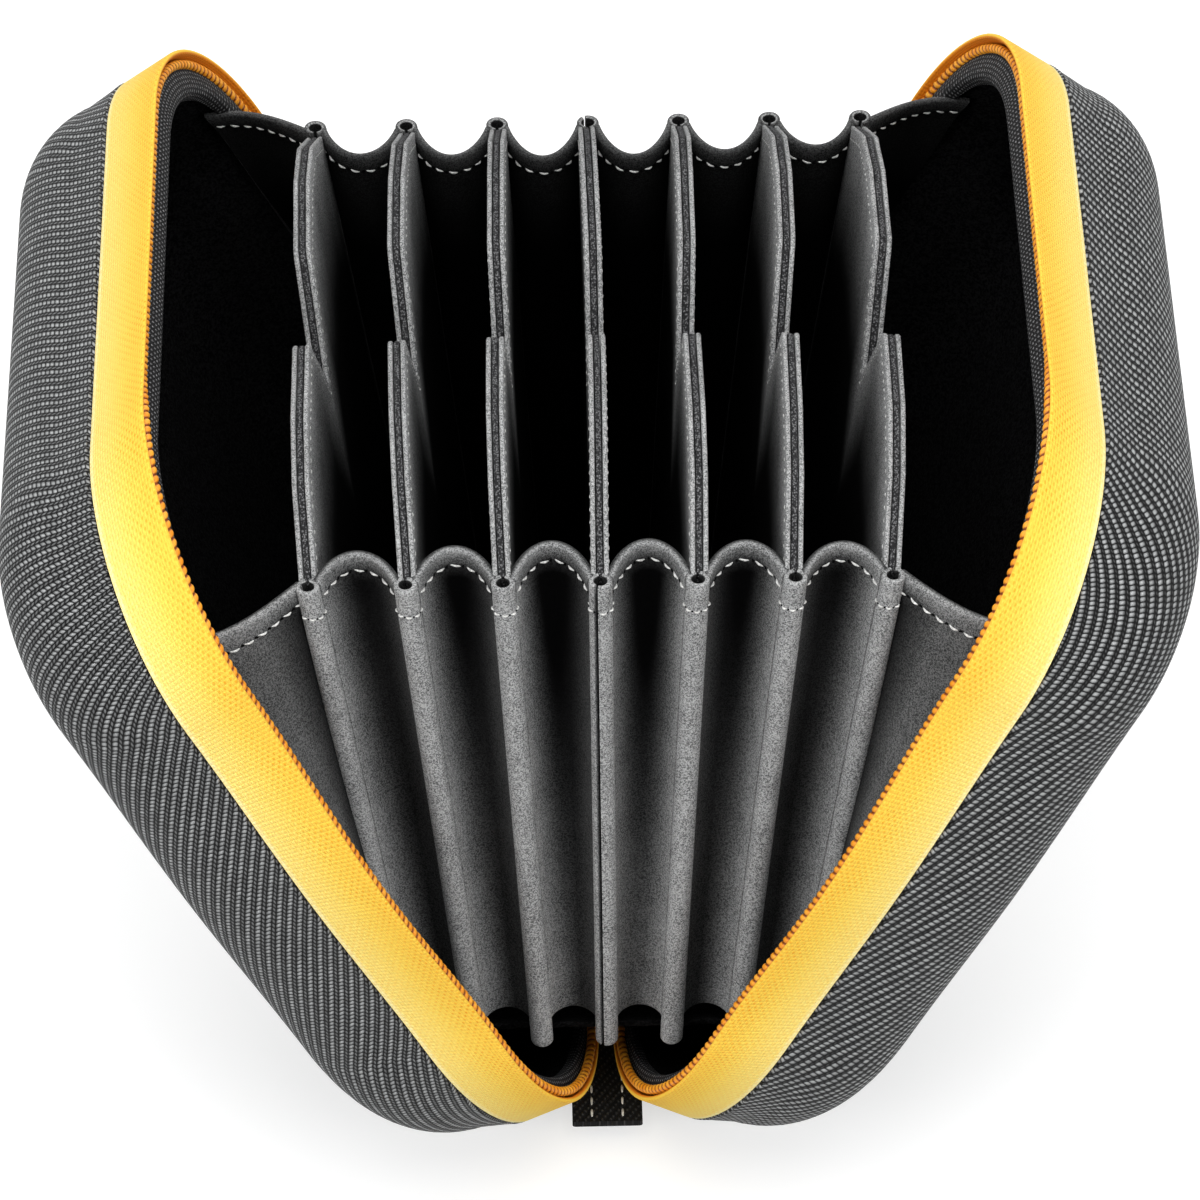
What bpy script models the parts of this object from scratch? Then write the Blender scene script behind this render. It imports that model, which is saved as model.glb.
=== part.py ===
"""Lens filter case: a zipped clamshell of two padded trays, standing open on its spine.

Metres, +Z up. The origin is on the ground under the middle of the case, +X runs from the
left tray to the right one and +Y runs from the front of the spine to its back. Each tray is
drawn in its own frame: u along the spine, v up the zipper's plane from the hinge line and
t away from that plane, into the tray. An inset is measured inwards from the outline.
"""
import math

import bmesh
import bpy
from mathutils import Matrix, Vector

# How far each tray leans out from upright, and the hinge line's distance from the middle
opening_angle = math.radians(25.8)
hinge_offset = 0.001

# Outline of the zipper's rim, at t = 0
rim_width = 0.1418
rim_height = 0.1533
rim_bottom_radius = 0.0343
rim_top_radius = 0.0352
rim_side_bow = 0.0031
rim_top_narrowing = 0.0027

# Outline of the padded tray, where the zipper tape is sewn to it, drawn in from the rim's
# at the sides, the top and the top corners, and hanging below it at the spine
tape_side_draw = 0.0009
tape_top_draw = 0.0044
tape_corner_draw = 0.0034
body_drop = 0.0091
body_width = rim_width - 2 * tape_side_draw
body_height = rim_height - tape_top_draw + body_drop
body_bottom_radius = 0.048
body_top_radius = rim_top_radius - tape_corner_draw
body_side_bow = 0.0013

# Section through the padded tray
tape_depth = 0.0111
tray_depth = 0.0346
tray_edge_radius = 0.0165
tray_draw_in = 0.0015
face_dome = 0.001
dome_share = 0.7
dome_inset = 0.027
flat_inset = 0.038
face_corner_radius = 0.005

# Layers of the tray, from the outside in, each a seam apart
seam = 0.0003
tape_thickness = 0.0009
cover_thickness = 0.0009
core_thickness = 0.0022
lining_thickness = 0.0007

# Zipper coil and the bound edge behind it
coil_diameter = 0.0018
coil_depth = 0.0006
binding_start = 0.0019
binding_depth = 0.0018
binding_width = 0.0034
binding_top_extra = 0.002

# Woven strip under the spine
strip_width = 0.0114
strip_end_room = 0.0244
strip_length = rim_width - 2 * strip_end_room
strip_thickness = 0.0012
strip_drop = 0.0115

# Dividers: a stiff core between two sewn felt faces
dividers_each_side = 3
divider_floor_pitch = 0.0098
divider_fan_step = math.radians(2.5)
divider_end_room = 0.0179
divider_shoulder_room = 0.0444
divider_ear_rise = 0.0115
divider_width = rim_width - 2 * divider_end_room
divider_shoulder_height = rim_height - divider_shoulder_room
divider_ear_height = divider_shoulder_height + divider_ear_rise
divider_ear_slope_length = 0.013
divider_ear_bevel_drop = 0.003
divider_ear_bevel_length = 0.012
notch_width = 0.022
notch_depth = 0.0184
divider_core_thickness = 0.0006
divider_face_thickness = 0.00075

# Folded floor under the dividers, across the spine, with a lip at each end
floor_end_gap = 0.0026
floor_tip_gap = 0.002
floor_flat_length = rim_width - 2 * (rim_bottom_radius + floor_end_gap)
floor_lip_length = (divider_width - floor_flat_length) / 2 - floor_tip_gap
floor_lip_rise_share = 0.647
floor_lip_rise = floor_lip_length * floor_lip_rise_share
floor_lip_draw_in = 0.003
floor_edge_inset = 0.0006
floor_thickness = 0.0012
floor_height = 0.0056

# Pleated gussets in front of and behind the dividers
gusset_thickness = 0.0012
gusset_ridge_clearance = 0.0019
gusset_top_valley = 0.0075
gusset_bottom_valley = 0.005
gusset_bottom_lift = 0.0005
gusset_edge_depth = 0.006
gusset_edge_drop = 0.0035
gusset_middle_gap = 0.0004
gusset_wall_gap = 0.0004

# Zipper slider, parked at the back end of the spine on the right tape
slider_length = 0.009
slider_plate = 0.0011
slider_clearance = 0.00045
slider_reach = 0.0045
bail_span = 0.0052
bail_height = 0.0036
bail_wire = 0.0011
pull_length = 0.017
pull_width = 0.0056
pull_thickness = 0.0011
pull_slot_length = 0.0052
pull_slot_width = 0.0026
pull_hang_angle = math.radians(116.0)

# How finely curves are cut
corner_steps = 6
side_steps = 4
arc_steps = 3
pleat_steps = 6
panel_steps = 4

COLOURS = {
    "nylon": ((0.045, 0.047, 0.048), 0.72, 0.0),
    "foam": ((0.02, 0.02, 0.02), 0.9, 0.0),
    "lining": ((0.012, 0.012, 0.013), 0.95, 0.0),
    "tape": ((0.93, 0.50, 0.05), 0.7, 0.0),
    "coil": ((0.80, 0.30, 0.02), 0.45, 0.0),
    "webbing": ((0.012, 0.012, 0.012), 0.85, 0.0),
    "felt": ((0.13, 0.13, 0.13), 0.95, 0.0),
    "divider_core": ((0.02, 0.02, 0.02), 0.9, 0.0),
    "metal": ((0.05, 0.05, 0.055), 0.35, 0.9),
}


def lift():
    """Height of the hinge line above the ground, so that the trays' rounded edges touch it."""
    arc_t = tray_depth - tray_edge_radius
    arc_v = tray_draw_in + tray_edge_radius - body_drop
    return tray_edge_radius + arc_t * math.sin(opening_angle) - arc_v * math.cos(opening_angle)


def in_tray(side, u, v, t):
    """World point of (u, v, t) in the tray on one side, -1 for the left and 1 for the right."""
    x = hinge_offset + v * math.sin(opening_angle) + t * math.cos(opening_angle)
    z = lift() + v * math.cos(opening_angle) - t * math.sin(opening_angle)
    return Vector((side * x, u, z))


def tray_direction(side, u, v, t):
    """World direction of a step (u, v, t) in the tray on one side."""
    return in_tray(side, u, v, t) - in_tray(side, 0, 0, 0)


def outline(width, height, base, bottom_radius, top_radius, bow, narrowing, inset):
    """Rounded outline as (u, v) points: from the spine's front end over the top to its back
    end, then back along the spine. Side stretches bulge by bow."""
    half = width / 2 - inset
    low = base + inset
    high = base + height - inset
    bottom = max(bottom_radius - inset, face_corner_radius)
    top = max(top_radius - inset, face_corner_radius)
    corners = [
        (-half + bottom, low + bottom, bottom, 270),
        (-half + top, high - top, top, 180),
        (half - top, high - top, top, 90),
        (half - bottom, low + bottom, bottom, 0),
    ]
    swell = [(-bow, 0), (0, 0), (bow, 0), (0, 0)]
    points = []
    for index, (u, v, radius, start) in enumerate(corners):
        for step in range(corner_steps + 1):
            angle = math.radians(start - 90 * step / corner_steps)
            points.append((u + radius * math.cos(angle), v + radius * math.sin(angle)))
        here = points[-1]
        u, v, radius, start = corners[(index + 1) % len(corners)]
        angle = math.radians(start)
        there = (u + radius * math.cos(angle), v + radius * math.sin(angle))
        for step in range(1, side_steps):
            share = step / side_steps
            push = math.sin(math.pi * share) ** 2
            points.append(
                (
                    here[0] + (there[0] - here[0]) * share + swell[index][0] * push,
                    here[1] + (there[1] - here[1]) * share + swell[index][1] * push,
                )
            )
    return [(u * (1 - 2 * narrowing / width * max(v, 0) / height), v) for u, v in points]


def ring_shape(inset, t):
    """Outline of the case at depth t: the rim's at 0, the tray's from the tape's seam on."""
    rim = outline(
        rim_width, rim_height, 0, rim_bottom_radius, rim_top_radius, rim_side_bow, rim_top_narrowing, inset
    )
    body = outline(
        body_width, body_height, -body_drop, body_bottom_radius, body_top_radius, body_side_bow, 0, inset
    )
    share = min(max(t / tape_depth, 0), 1)
    return [
        (a[0] + (b[0] - a[0]) * share, a[1] + (b[1] - a[1]) * share) for a, b in zip(rim, body)
    ]


def ring(side, inset, t):
    """World points of one ring of the tray."""
    return [in_tray(side, u, v, t) for u, v in ring_shape(inset, t)]


def varied_ring(side, insets, t):
    """World points of a ring whose inset changes from point to point."""
    low = min(insets)
    spread = max(max(insets) - low, seam)
    near = ring(side, low, t)
    far = ring(side, low + spread, t)
    return [a.lerp(b, (inset - low) / spread) for a, b, inset in zip(near, far, insets)]


def around_count():
    """Number of outline points from the spine's front end over the top to its back end."""
    return 4 * (corner_steps + 1) + 3 * (side_steps - 1)


def tape_slopes():
    """How far the tape leans sideways for each unit of depth, at each outline point."""
    rim = [Vector(point) for point in ring_shape(0, 0)]
    sewn = [Vector(point) for point in ring_shape(0, tape_depth)]
    slopes = []
    for index, place in enumerate(rim):
        run = (rim[(index + 1) % len(rim)] - rim[index - 1]).normalized()
        slopes.append(run.cross(sewn[index] - place) / tape_depth)
    return slopes


def coil_inset(slope):
    """Inset of the coil's middle line where the tape has that slope."""
    return tape_thickness + (seam + coil_diameter / 2) * math.hypot(1, slope)


def material(name):
    """Plain material of that name, made once."""
    found = bpy.data.materials.get(name)
    if found:
        return found
    colour, roughness, metallic = COLOURS[name]
    made = bpy.data.materials.new(name)
    made.use_nodes = True
    shader = made.node_tree.nodes["Principled BSDF"]
    shader.inputs["Base Color"].default_value = (*colour, 1)
    shader.inputs["Roughness"].default_value = roughness
    shader.inputs["Metallic"].default_value = metallic
    made.diffuse_color = (*colour, 1)
    return made


def add_object(name, mesh, finish, origin=None):
    """Links a mesh as a named object, its origin moved to a world point."""
    body = bpy.data.objects.new(name, mesh)
    bpy.context.scene.collection.objects.link(body)
    mesh.materials.append(material(finish))
    if origin is not None:
        mesh.transform(Matrix.Translation(-origin))
        body.location = origin
    return body


def finish_mesh(name, shape, smooth=True):
    """Turns a bmesh into a mesh whose faces point out."""
    bmesh.ops.recalc_face_normals(shape, faces=shape.faces)
    mesh = bpy.data.meshes.new(name)
    shape.to_mesh(mesh)
    shape.free()
    if smooth:
        mesh.shade_smooth()
        mesh.set_sharp_from_angle(angle=math.radians(35))
    return mesh


def split_quad(shape, a, b, c, d):
    """Two triangles across the shorter diagonal, so that layers side by side fold alike."""
    if (a.co - c.co).length < (b.co - d.co).length:
        shape.faces.new((a, b, c))
        shape.faces.new((a, c, d))
    else:
        shape.faces.new((a, b, d))
        shape.faces.new((b, c, d))


def loft(name, loops, finish, origin=None, ring_closed=True):
    """Closed solid through loops of points. Closed loops are capped at the first and the last
    one; open ones wrap round from the last to the first and are capped at their ends."""
    shape = bmesh.new()
    rows = [[shape.verts.new(point) for point in loop] for loop in loops]
    count = len(rows[0])
    pairs = list(zip(rows, rows[1:]))
    if not ring_closed:
        pairs.append((rows[-1], rows[0]))
    for near, far in pairs:
        for index in range(count if ring_closed else count - 1):
            after = (index + 1) % count
            split_quad(shape, near[index], near[after], far[after], far[index])
    if ring_closed:
        shape.faces.new(rows[0])
        shape.faces.new(rows[-1])
    else:
        shape.faces.new([row[0] for row in rows])
        shape.faces.new([row[-1] for row in rows])
    return add_object(name, finish_mesh(name, shape), finish, origin)


def prism(name, profile, step, finish, origin=None):
    """Solid between a flat outline of world points and its copy one step away."""
    return loft(name, [profile, [point + step for point in profile]], finish, origin)


def tray_profile(wall, start):
    """(inset, t) points of one skin of the tray, wall deep, from its front edge to its face."""
    arc_t = tray_depth - tray_edge_radius
    radius = tray_edge_radius - wall
    points = []
    if start < tape_depth:
        points += [(wall, start), (wall, tape_depth)]
    else:
        points.append((wall, start))
    angles = [0, opening_angle]
    for step in range(1, arc_steps + 1):
        angles.append(opening_angle + (math.pi / 2 - opening_angle) * step / arc_steps)
    for angle in angles:
        inset = tray_draw_in + tray_edge_radius - radius * math.cos(angle)
        points.append((inset, arc_t + radius * math.sin(angle)))
    points.append((dome_inset, tray_depth - wall + face_dome * dome_share))
    points.append((flat_inset, tray_depth - wall + face_dome))
    return points


def tray_layer(name, side, outer, inner, start, finish):
    """One layer of the moulded tray, between two depths of its wall."""
    outside = [ring(side, inset, t) for inset, t in tray_profile(outer, start)]
    inside = [ring(side, inset, t) for inset, t in tray_profile(inner, start)]
    hinge = in_tray(side, 0, 0, 0)
    loft(name, outside[::-1] + inside, finish, hinge)


def band(name, side, corners, finish, first, last):
    """A strip with a section of (inset, t) corners, along the outline points first to last."""
    loops = [ring(side, inset, t)[first : last + 1] for inset, t in corners]
    loft(name, loops, finish, in_tray(side, 0, 0, 0), ring_closed=False)


def build_tray(side, word):
    """Padded tray with its zipper tape, coil, bound edge and hinge panel."""
    cover_in = cover_thickness
    core_out = cover_in + seam
    core_in = core_out + core_thickness
    lining_out = core_in + seam
    lining_in = lining_out + lining_thickness
    pad_start = binding_start + binding_depth + seam
    tray_layer(f"{word}_cover", side, 0, cover_in, tape_depth + seam, "nylon")
    tray_layer(f"{word}_core", side, core_out, core_in, pad_start, "foam")
    tray_layer(f"{word}_lining", side, lining_out, lining_in, pad_start, "lining")
    last = around_count() - 1
    tape = [(0, 0), (0, tape_depth), (tape_thickness, tape_depth), (tape_thickness, 0)]
    band(f"{word}_zipper_tape", side, tape, "tape", 0, last)
    build_binding(f"{word}_binding", side, last)
    build_coil(f"{word}_zipper_coil", side, last)
    build_hinge_panel(f"{word}_hinge_panel", side, last)


def build_binding(name, side, last):
    """Ribbed binding round the tray's front edge, wider along the top."""
    start = binding_start
    end = start + binding_depth
    out = tape_thickness + seam
    top = rim_height - rim_top_radius
    heights = [v for _, v in ring_shape(out + binding_width, start)]
    shares = [min(max((v - top) / rim_top_radius, 0), 1) for v in heights]
    inner = [out + binding_width + binding_top_extra * share for share in shares]
    loops = [
        ring(side, out, start),
        ring(side, out, end),
        varied_ring(side, inner, end),
        varied_ring(side, inner, start),
    ]
    loops = [loop[: last + 1] for loop in loops]
    loft(name, loops, "webbing", in_tray(side, 0, 0, 0), ring_closed=False)


def build_coil(name, side, last):
    """Zipper coil along the tape's inner edge, as a round cord."""
    insets = [coil_inset(slope) for slope in tape_slopes()]
    route = varied_ring(side, insets, coil_depth)[: last + 1]
    origin = in_tray(side, 0, 0, 0)
    curve = bpy.data.curves.new(name, "CURVE")
    curve.dimensions = "3D"
    curve.bevel_depth = coil_diameter / 2
    curve.bevel_resolution = 2
    curve.use_fill_caps = True
    spline = curve.splines.new("POLY")
    spline.points.add(len(route) - 1)
    for point, place in zip(spline.points, route):
        point.co = (*(place - origin), 1)
    curve.materials.append(material("coil"))
    cord = bpy.data.objects.new(name, curve)
    cord.location = origin
    bpy.context.scene.collection.objects.link(cord)


def build_hinge_panel(name, side, last):
    """Woven panel that closes the rim along the spine, between the tape's two ends."""
    loops = []
    for inset, t in [(0, 0), (0, tape_depth), (tape_thickness, tape_depth), (tape_thickness, 0)]:
        shape = ring_shape(inset, t)
        run = shape[last:] + shape[:1]
        reach = abs(run[0][0])
        shrink = (reach - seam) / reach
        loops.append([in_tray(side, u * shrink, v, t) for u, v in run])
    loft(name, loops, "webbing", in_tray(side, 0, 0, 0), ring_closed=False)


def build_hinge_strip():
    """Woven strip under the spine that ties the two rims together."""
    low = lift() - strip_drop - strip_thickness / 2
    half = strip_width / 2
    front = -strip_length / 2
    profile = [
        Vector((-half, front, low)),
        Vector((half, front, low)),
        Vector((half, front, low + strip_thickness)),
        Vector((-half, front, low + strip_thickness)),
    ]
    prism("hinge_strip", profile, Vector((0, strip_length, 0)), "webbing")


def floor_line(rise):
    """(y, z) points of the insert's floor, raised above its middle surface."""
    z = lift() + floor_height + rise
    flat = floor_flat_length / 2
    tip = flat + floor_lip_length
    return [(-tip, z + floor_lip_rise), (-flat, z), (flat, z), (tip, z + floor_lip_rise)]


def lip_stretch():
    """How much farther apart, upright, two lines a unit apart are on the floor's lips."""
    return math.hypot(floor_lip_length, floor_lip_rise) / floor_lip_length


def build_floor():
    """Black fabric floor under the dividers, turned up and drawn in at both ends."""
    half_rise = floor_thickness / 2 * lip_stretch()
    half = dividers_each_side * divider_floor_pitch - floor_edge_inset
    tip = half - floor_lip_draw_in
    loops = []
    lower = floor_line(-half_rise)
    upper = floor_line(half_rise)
    for reach, (y, low), (_, high) in zip((tip, half, half, tip), lower, upper):
        corners = [(-reach, low), (reach, low), (reach, high), (-reach, high)]
        loops.append([Vector((x, y, z)) for x, z in corners])
    loft("insert_floor", loops, "lining")


def divider_foot():
    """Height of a divider's lower edge above the ground."""
    return lift() + floor_height + floor_thickness / 2 * lip_stretch() + seam * lip_stretch()


def divider_outline():
    """(y, height above the foot) points of a divider, with its two ears and finger notch."""
    half = divider_width / 2
    flat = floor_flat_length / 2
    slope = floor_lip_rise / floor_lip_length
    corner = (half - flat) * slope
    ear_out = half - divider_ear_slope_length
    ear_in = ear_out - divider_ear_bevel_length
    ridge = [
        (half, divider_shoulder_height),
        (ear_out, divider_ear_height - divider_ear_bevel_drop),
        (ear_in, divider_ear_height),
        (notch_width / 2, divider_ear_height),
    ]
    dip = divider_ear_height - notch_depth
    right = [(flat, 0), (half, corner)] + ridge
    left = [(-y, height) for y, height in right[::-1]]
    return right + [(0, dip)] + left


def divider_places():
    """Steps of each divider from the middle one, negative on the left."""
    return list(range(-dividers_each_side, dividers_each_side + 1))


def divider_x(step, height):
    """x of a divider's middle plane at a height above its foot."""
    return step * divider_floor_pitch + height * math.tan(step * divider_fan_step)


def fan_origin():
    """The line that the dividers fan about: the spine's hinge line."""
    return Vector((0, 0, lift()))


def build_divider(number, step):
    """Stiff core and two felt faces, fanned out from the spine."""
    tilt = step * divider_fan_step
    normal = Vector((math.cos(tilt), 0, -math.sin(tilt)))
    up = Vector((math.sin(tilt), 0, math.cos(tilt)))
    foot = Vector((step * divider_floor_pitch, 0, divider_foot()))
    sheet = [foot + Vector((0, y, 0)) + up * height for y, height in divider_outline()]
    core = divider_core_thickness
    face = divider_face_thickness
    layers = [
        ("core", -core / 2, core, "divider_core"),
        ("left_face", -core / 2 - seam - face, face, "felt"),
        ("right_face", core / 2 + seam, face, "felt"),
    ]
    for word, start, thickness, finish in layers:
        profile = [point + normal * start for point in sheet]
        prism(f"divider_{number}_{word}", profile, normal * thickness, finish, fan_origin())


def wall_reach(v, t, inset):
    """How far the tray's wall stands from the middle along u, at height v and depth t."""
    shape = ring_shape(inset, t)
    best = 0
    for (u0, v0), (u1, v1) in zip(shape, shape[1:] + shape[:1]):
        if min(v0, v1) <= v <= max(v0, v1) and v0 != v1:
            best = max(best, abs(u0 + (u1 - u0) * (v - v0) / (v1 - v0)))
    return best


def gusset_path(height, valley):
    """(x, y) points of half a gusset, from the middle divider out to the tray's lining."""
    ridge = divider_width / 2 + gusset_ridge_clearance + gusset_thickness / 2
    points = []
    for step in range(dividers_each_side):
        near = divider_x(step, height)
        far = divider_x(step + 1, height)
        if step == 0:
            near = gusset_middle_gap / 2
        for index in range(pleat_steps):
            share = index / pleat_steps
            sink = valley * (1 - math.cos(2 * math.pi * share)) / 2
            points.append((near + (far - near) * share, ridge - sink))
    drop = gusset_edge_drop * height / divider_shoulder_height
    t = gusset_edge_depth
    rise = divider_foot() + height - drop - lift()
    v = (rise + t * math.sin(opening_angle)) / math.cos(opening_angle)
    wall = cover_thickness + core_thickness + lining_thickness + 2 * seam
    end_y = wall_reach(v, t, wall) - gusset_wall_gap - gusset_thickness / 2
    end_x = in_tray(1, 0, v, t).x
    start_x = divider_x(dividers_each_side, height)
    for index in range(panel_steps + 1):
        share = index / panel_steps
        bulge = math.sin(math.pi * share) * gusset_thickness
        points.append(
            (start_x + (end_x - start_x) * share, ridge + (end_y - ridge) * share - bulge)
        )
    return points


def offset_path(path, distance):
    """The path moved sideways by a distance, square to its own direction and to x where it
    starts, on the middle divider's ridge."""
    moved = []
    for index, (x, y) in enumerate(path):
        before = path[max(index - 1, 0)]
        after = path[min(index + 1, len(path) - 1)]
        run = Vector((after[0] - before[0], after[1] - before[1] if index else 0)).normalized()
        moved.append((x - run.y * distance, y + run.x * distance))
    return moved


def build_gusset(name, side, end):
    """Half of a pleated gusset: side -1 is left, end -1 is at the front."""
    levels = [
        (divider_outline()[1][1] + gusset_bottom_lift, gusset_bottom_valley),
        (divider_shoulder_height, gusset_top_valley),
    ]
    loops = []
    for level, (height, valley) in enumerate(levels):
        path = gusset_path(height, valley)
        z = divider_foot() + height
        last = len(path) - 1
        skins = [offset_path(path, distance * gusset_thickness / 2) for distance in (-1, 1)]
        if level == 1:
            skins = skins[::-1]
        for skin in skins:
            row = []
            for index, (x, y) in enumerate(skin):
                share = max(index - (last - panel_steps), 0) / panel_steps
                fall = gusset_edge_drop * share * height / divider_shoulder_height
                row.append(Vector((side * x, end * y, z - fall)))
            loops.append(row)
    loft(name, loops, "felt", ring_closed=False)


def slider_frame():
    """Place on the back corner of the right rim, its run, the ways inwards and deeper, and the
    tape's slope there."""
    rim = ring(1, 0, 0)
    slopes = tape_slopes()
    lower = around_count() - 2
    upper = lower - 1
    place = (rim[lower] + rim[upper]) / 2
    run = (rim[lower] - rim[upper]).normalized()
    deeper = tray_direction(1, 0, 0, 1)
    slope = (slopes[lower] + slopes[upper]) / 2
    return place, run, run.cross(deeper), deeper, slope


def box_between(name, place, axes, low, high, finish, origin=None):
    """Box along three axes from one corner to the other, measured from a place."""
    profile = []
    for first, second in [(0, 0), (1, 0), (1, 1), (0, 1)]:
        a = (low[0], high[0])[first]
        b = (low[1], high[1])[second]
        profile.append(place + axes[0] * a + axes[1] * b + axes[2] * low[2])
    return prism(name, profile, axes[2] * (high[2] - low[2]), finish, origin)


def combine(body, tool, operation):
    """Boolean of body with tool, which then goes."""
    step = body.modifiers.new(operation.lower(), "BOOLEAN")
    step.operation = operation
    step.object = tool
    step.solver = "EXACT"
    tool.hide_render = True
    tool.display_type = "WIRE"


def slider_outside():
    """Middle of the slider's outer plate, with the ways along the tape's depth and outwards."""
    place, _, inward, deeper, slope = slider_frame()
    along = (deeper - inward * slope).normalized()
    outward = -(inward + deeper * slope).normalized()
    middle = place + deeper * (slider_reach / 2)
    middle -= inward * (slider_clearance + slider_plate + slope * slider_reach / 2)
    return middle, along, outward


def pull_pivot():
    """Middle of the bail's window, where the pull's head hangs."""
    middle, _, outward = slider_outside()
    return middle + outward * ((bail_height - bail_wire) / 2)


def build_slider():
    """Slider that clasps the right coil and tape, with a bail under it for the pull."""
    place, run, inward, deeper, slope = slider_frame()
    edge = -(hinge_offset + slider_clearance)
    near = -slider_clearance
    inner = coil_inset(slope) + coil_diameter / 2 + slider_clearance
    inner_reach = binding_start - slider_clearance
    section = [
        (edge, near - slider_plate),
        (0, near - slider_plate),
        (slider_reach, near - slider_plate - slope * slider_reach),
        (slider_reach, near - slope * slider_reach),
        (0, near),
        (near, near),
        (near, inner),
        (inner_reach, inner),
        (inner_reach, inner + slider_plate),
        (edge, inner + slider_plate),
    ]
    start = place - run * (slider_length / 2)
    profile = [start + deeper * t + inward * n for t, n in section]
    body = prism("zipper_slider", profile, run * slider_length, "metal")
    middle, along, outward = slider_outside()
    axes = (run, outward, along)
    half = bail_span / 2
    low = (-half, -slider_plate / 2, -bail_wire / 2)
    high = (half, bail_height, bail_wire / 2)
    bail = box_between("bail", middle, axes, low, high, "metal")
    hole_low = (bail_wire - half, -slider_plate, -bail_wire)
    hole_high = (half - bail_wire, bail_height - bail_wire, bail_wire)
    window = box_between("bail_window", middle, axes, hole_low, hole_high, "metal")
    combine(bail, window, "DIFFERENCE")
    combine(body, bail, "UNION")


def build_pull():
    """Flat pull tab that hangs from the bail, with a slot that the bail passes through."""
    _, run, _, _, _ = slider_frame()
    _, along, outward = slider_outside()
    pivot = pull_pivot()
    reach = run * math.cos(pull_hang_angle) + outward * math.sin(pull_hang_angle)
    axes = (reach, along, reach.cross(along))
    head = pull_thickness / 2
    low = (-head, -pull_width / 2, -pull_thickness / 2)
    high = (pull_length, pull_width / 2, pull_thickness / 2)
    tab = box_between("zipper_pull", pivot, axes, low, high, "metal", pivot)
    slot_low = (head, -pull_slot_width / 2, -pull_thickness)
    slot_high = (head + pull_slot_length, pull_slot_width / 2, pull_thickness)
    slot = box_between("pull_slot", pivot, axes, slot_low, slot_high, "metal")
    combine(tab, slot, "DIFFERENCE")


def main():
    """Clears the scene and builds every piece."""
    for old in list(bpy.data.objects):
        bpy.data.objects.remove(old, do_unlink=True)
    for side, word in [(-1, "left"), (1, "right")]:
        build_tray(side, word)
        for end, place in [(-1, "front"), (1, "back")]:
            build_gusset(f"gusset_{place}_{word}", side, end)
    build_hinge_strip()
    build_floor()
    for number, step in enumerate(divider_places(), start=1):
        build_divider(number, step)
    build_slider()
    build_pull()


main()
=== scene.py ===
"""Looks of the lens filter case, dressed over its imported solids.

Metres, +Z up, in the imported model's own frame. Each tray has its own directions: u along the
spine, v up the zipper's plane from the hinge line, and t away from that plane, into the tray.
An inset is measured inwards from the tray's outline. The insert stands between the trays:
dividers fan out from the spine, and pleated gussets wrap their ends.
"""
import logging
import math
from dataclasses import dataclass, field
from enum import Enum
from functools import cache
from typing import Callable, Optional, Sequence

import bpy
import numpy as np
from mathutils import Matrix, Vector


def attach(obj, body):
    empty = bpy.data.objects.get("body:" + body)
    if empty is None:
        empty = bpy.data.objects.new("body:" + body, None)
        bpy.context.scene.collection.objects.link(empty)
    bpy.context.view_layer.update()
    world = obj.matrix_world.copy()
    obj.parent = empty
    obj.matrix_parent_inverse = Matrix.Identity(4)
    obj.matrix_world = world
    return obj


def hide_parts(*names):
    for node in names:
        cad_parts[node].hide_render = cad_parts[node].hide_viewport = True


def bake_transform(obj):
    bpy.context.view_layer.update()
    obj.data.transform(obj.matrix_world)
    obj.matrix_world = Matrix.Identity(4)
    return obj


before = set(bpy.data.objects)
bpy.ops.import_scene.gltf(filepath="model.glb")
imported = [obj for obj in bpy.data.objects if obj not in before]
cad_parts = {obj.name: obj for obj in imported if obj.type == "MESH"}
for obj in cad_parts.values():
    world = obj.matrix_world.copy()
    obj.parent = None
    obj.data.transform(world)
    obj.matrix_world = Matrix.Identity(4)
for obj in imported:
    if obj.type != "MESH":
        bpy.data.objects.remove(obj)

logging.basicConfig(level=logging.INFO, format="%(message)s")
LOG = logging.getLogger("filter_case")

Socket = bpy.types.NodeSocket


class Side(Enum):
    """The two trays, with the sign of the way they lean."""

    LEFT = -1
    RIGHT = 1

    @property
    def word(self) -> str:
        """Name used in piece and body names."""
        return self.name.lower()


class End(Enum):
    """The two ends of the insert, with the sign of their way along Y."""

    FRONT = -1
    BACK = 1

    @property
    def word(self) -> str:
        """Name used in piece names."""
        return self.name.lower()


# Node helpers


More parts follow.
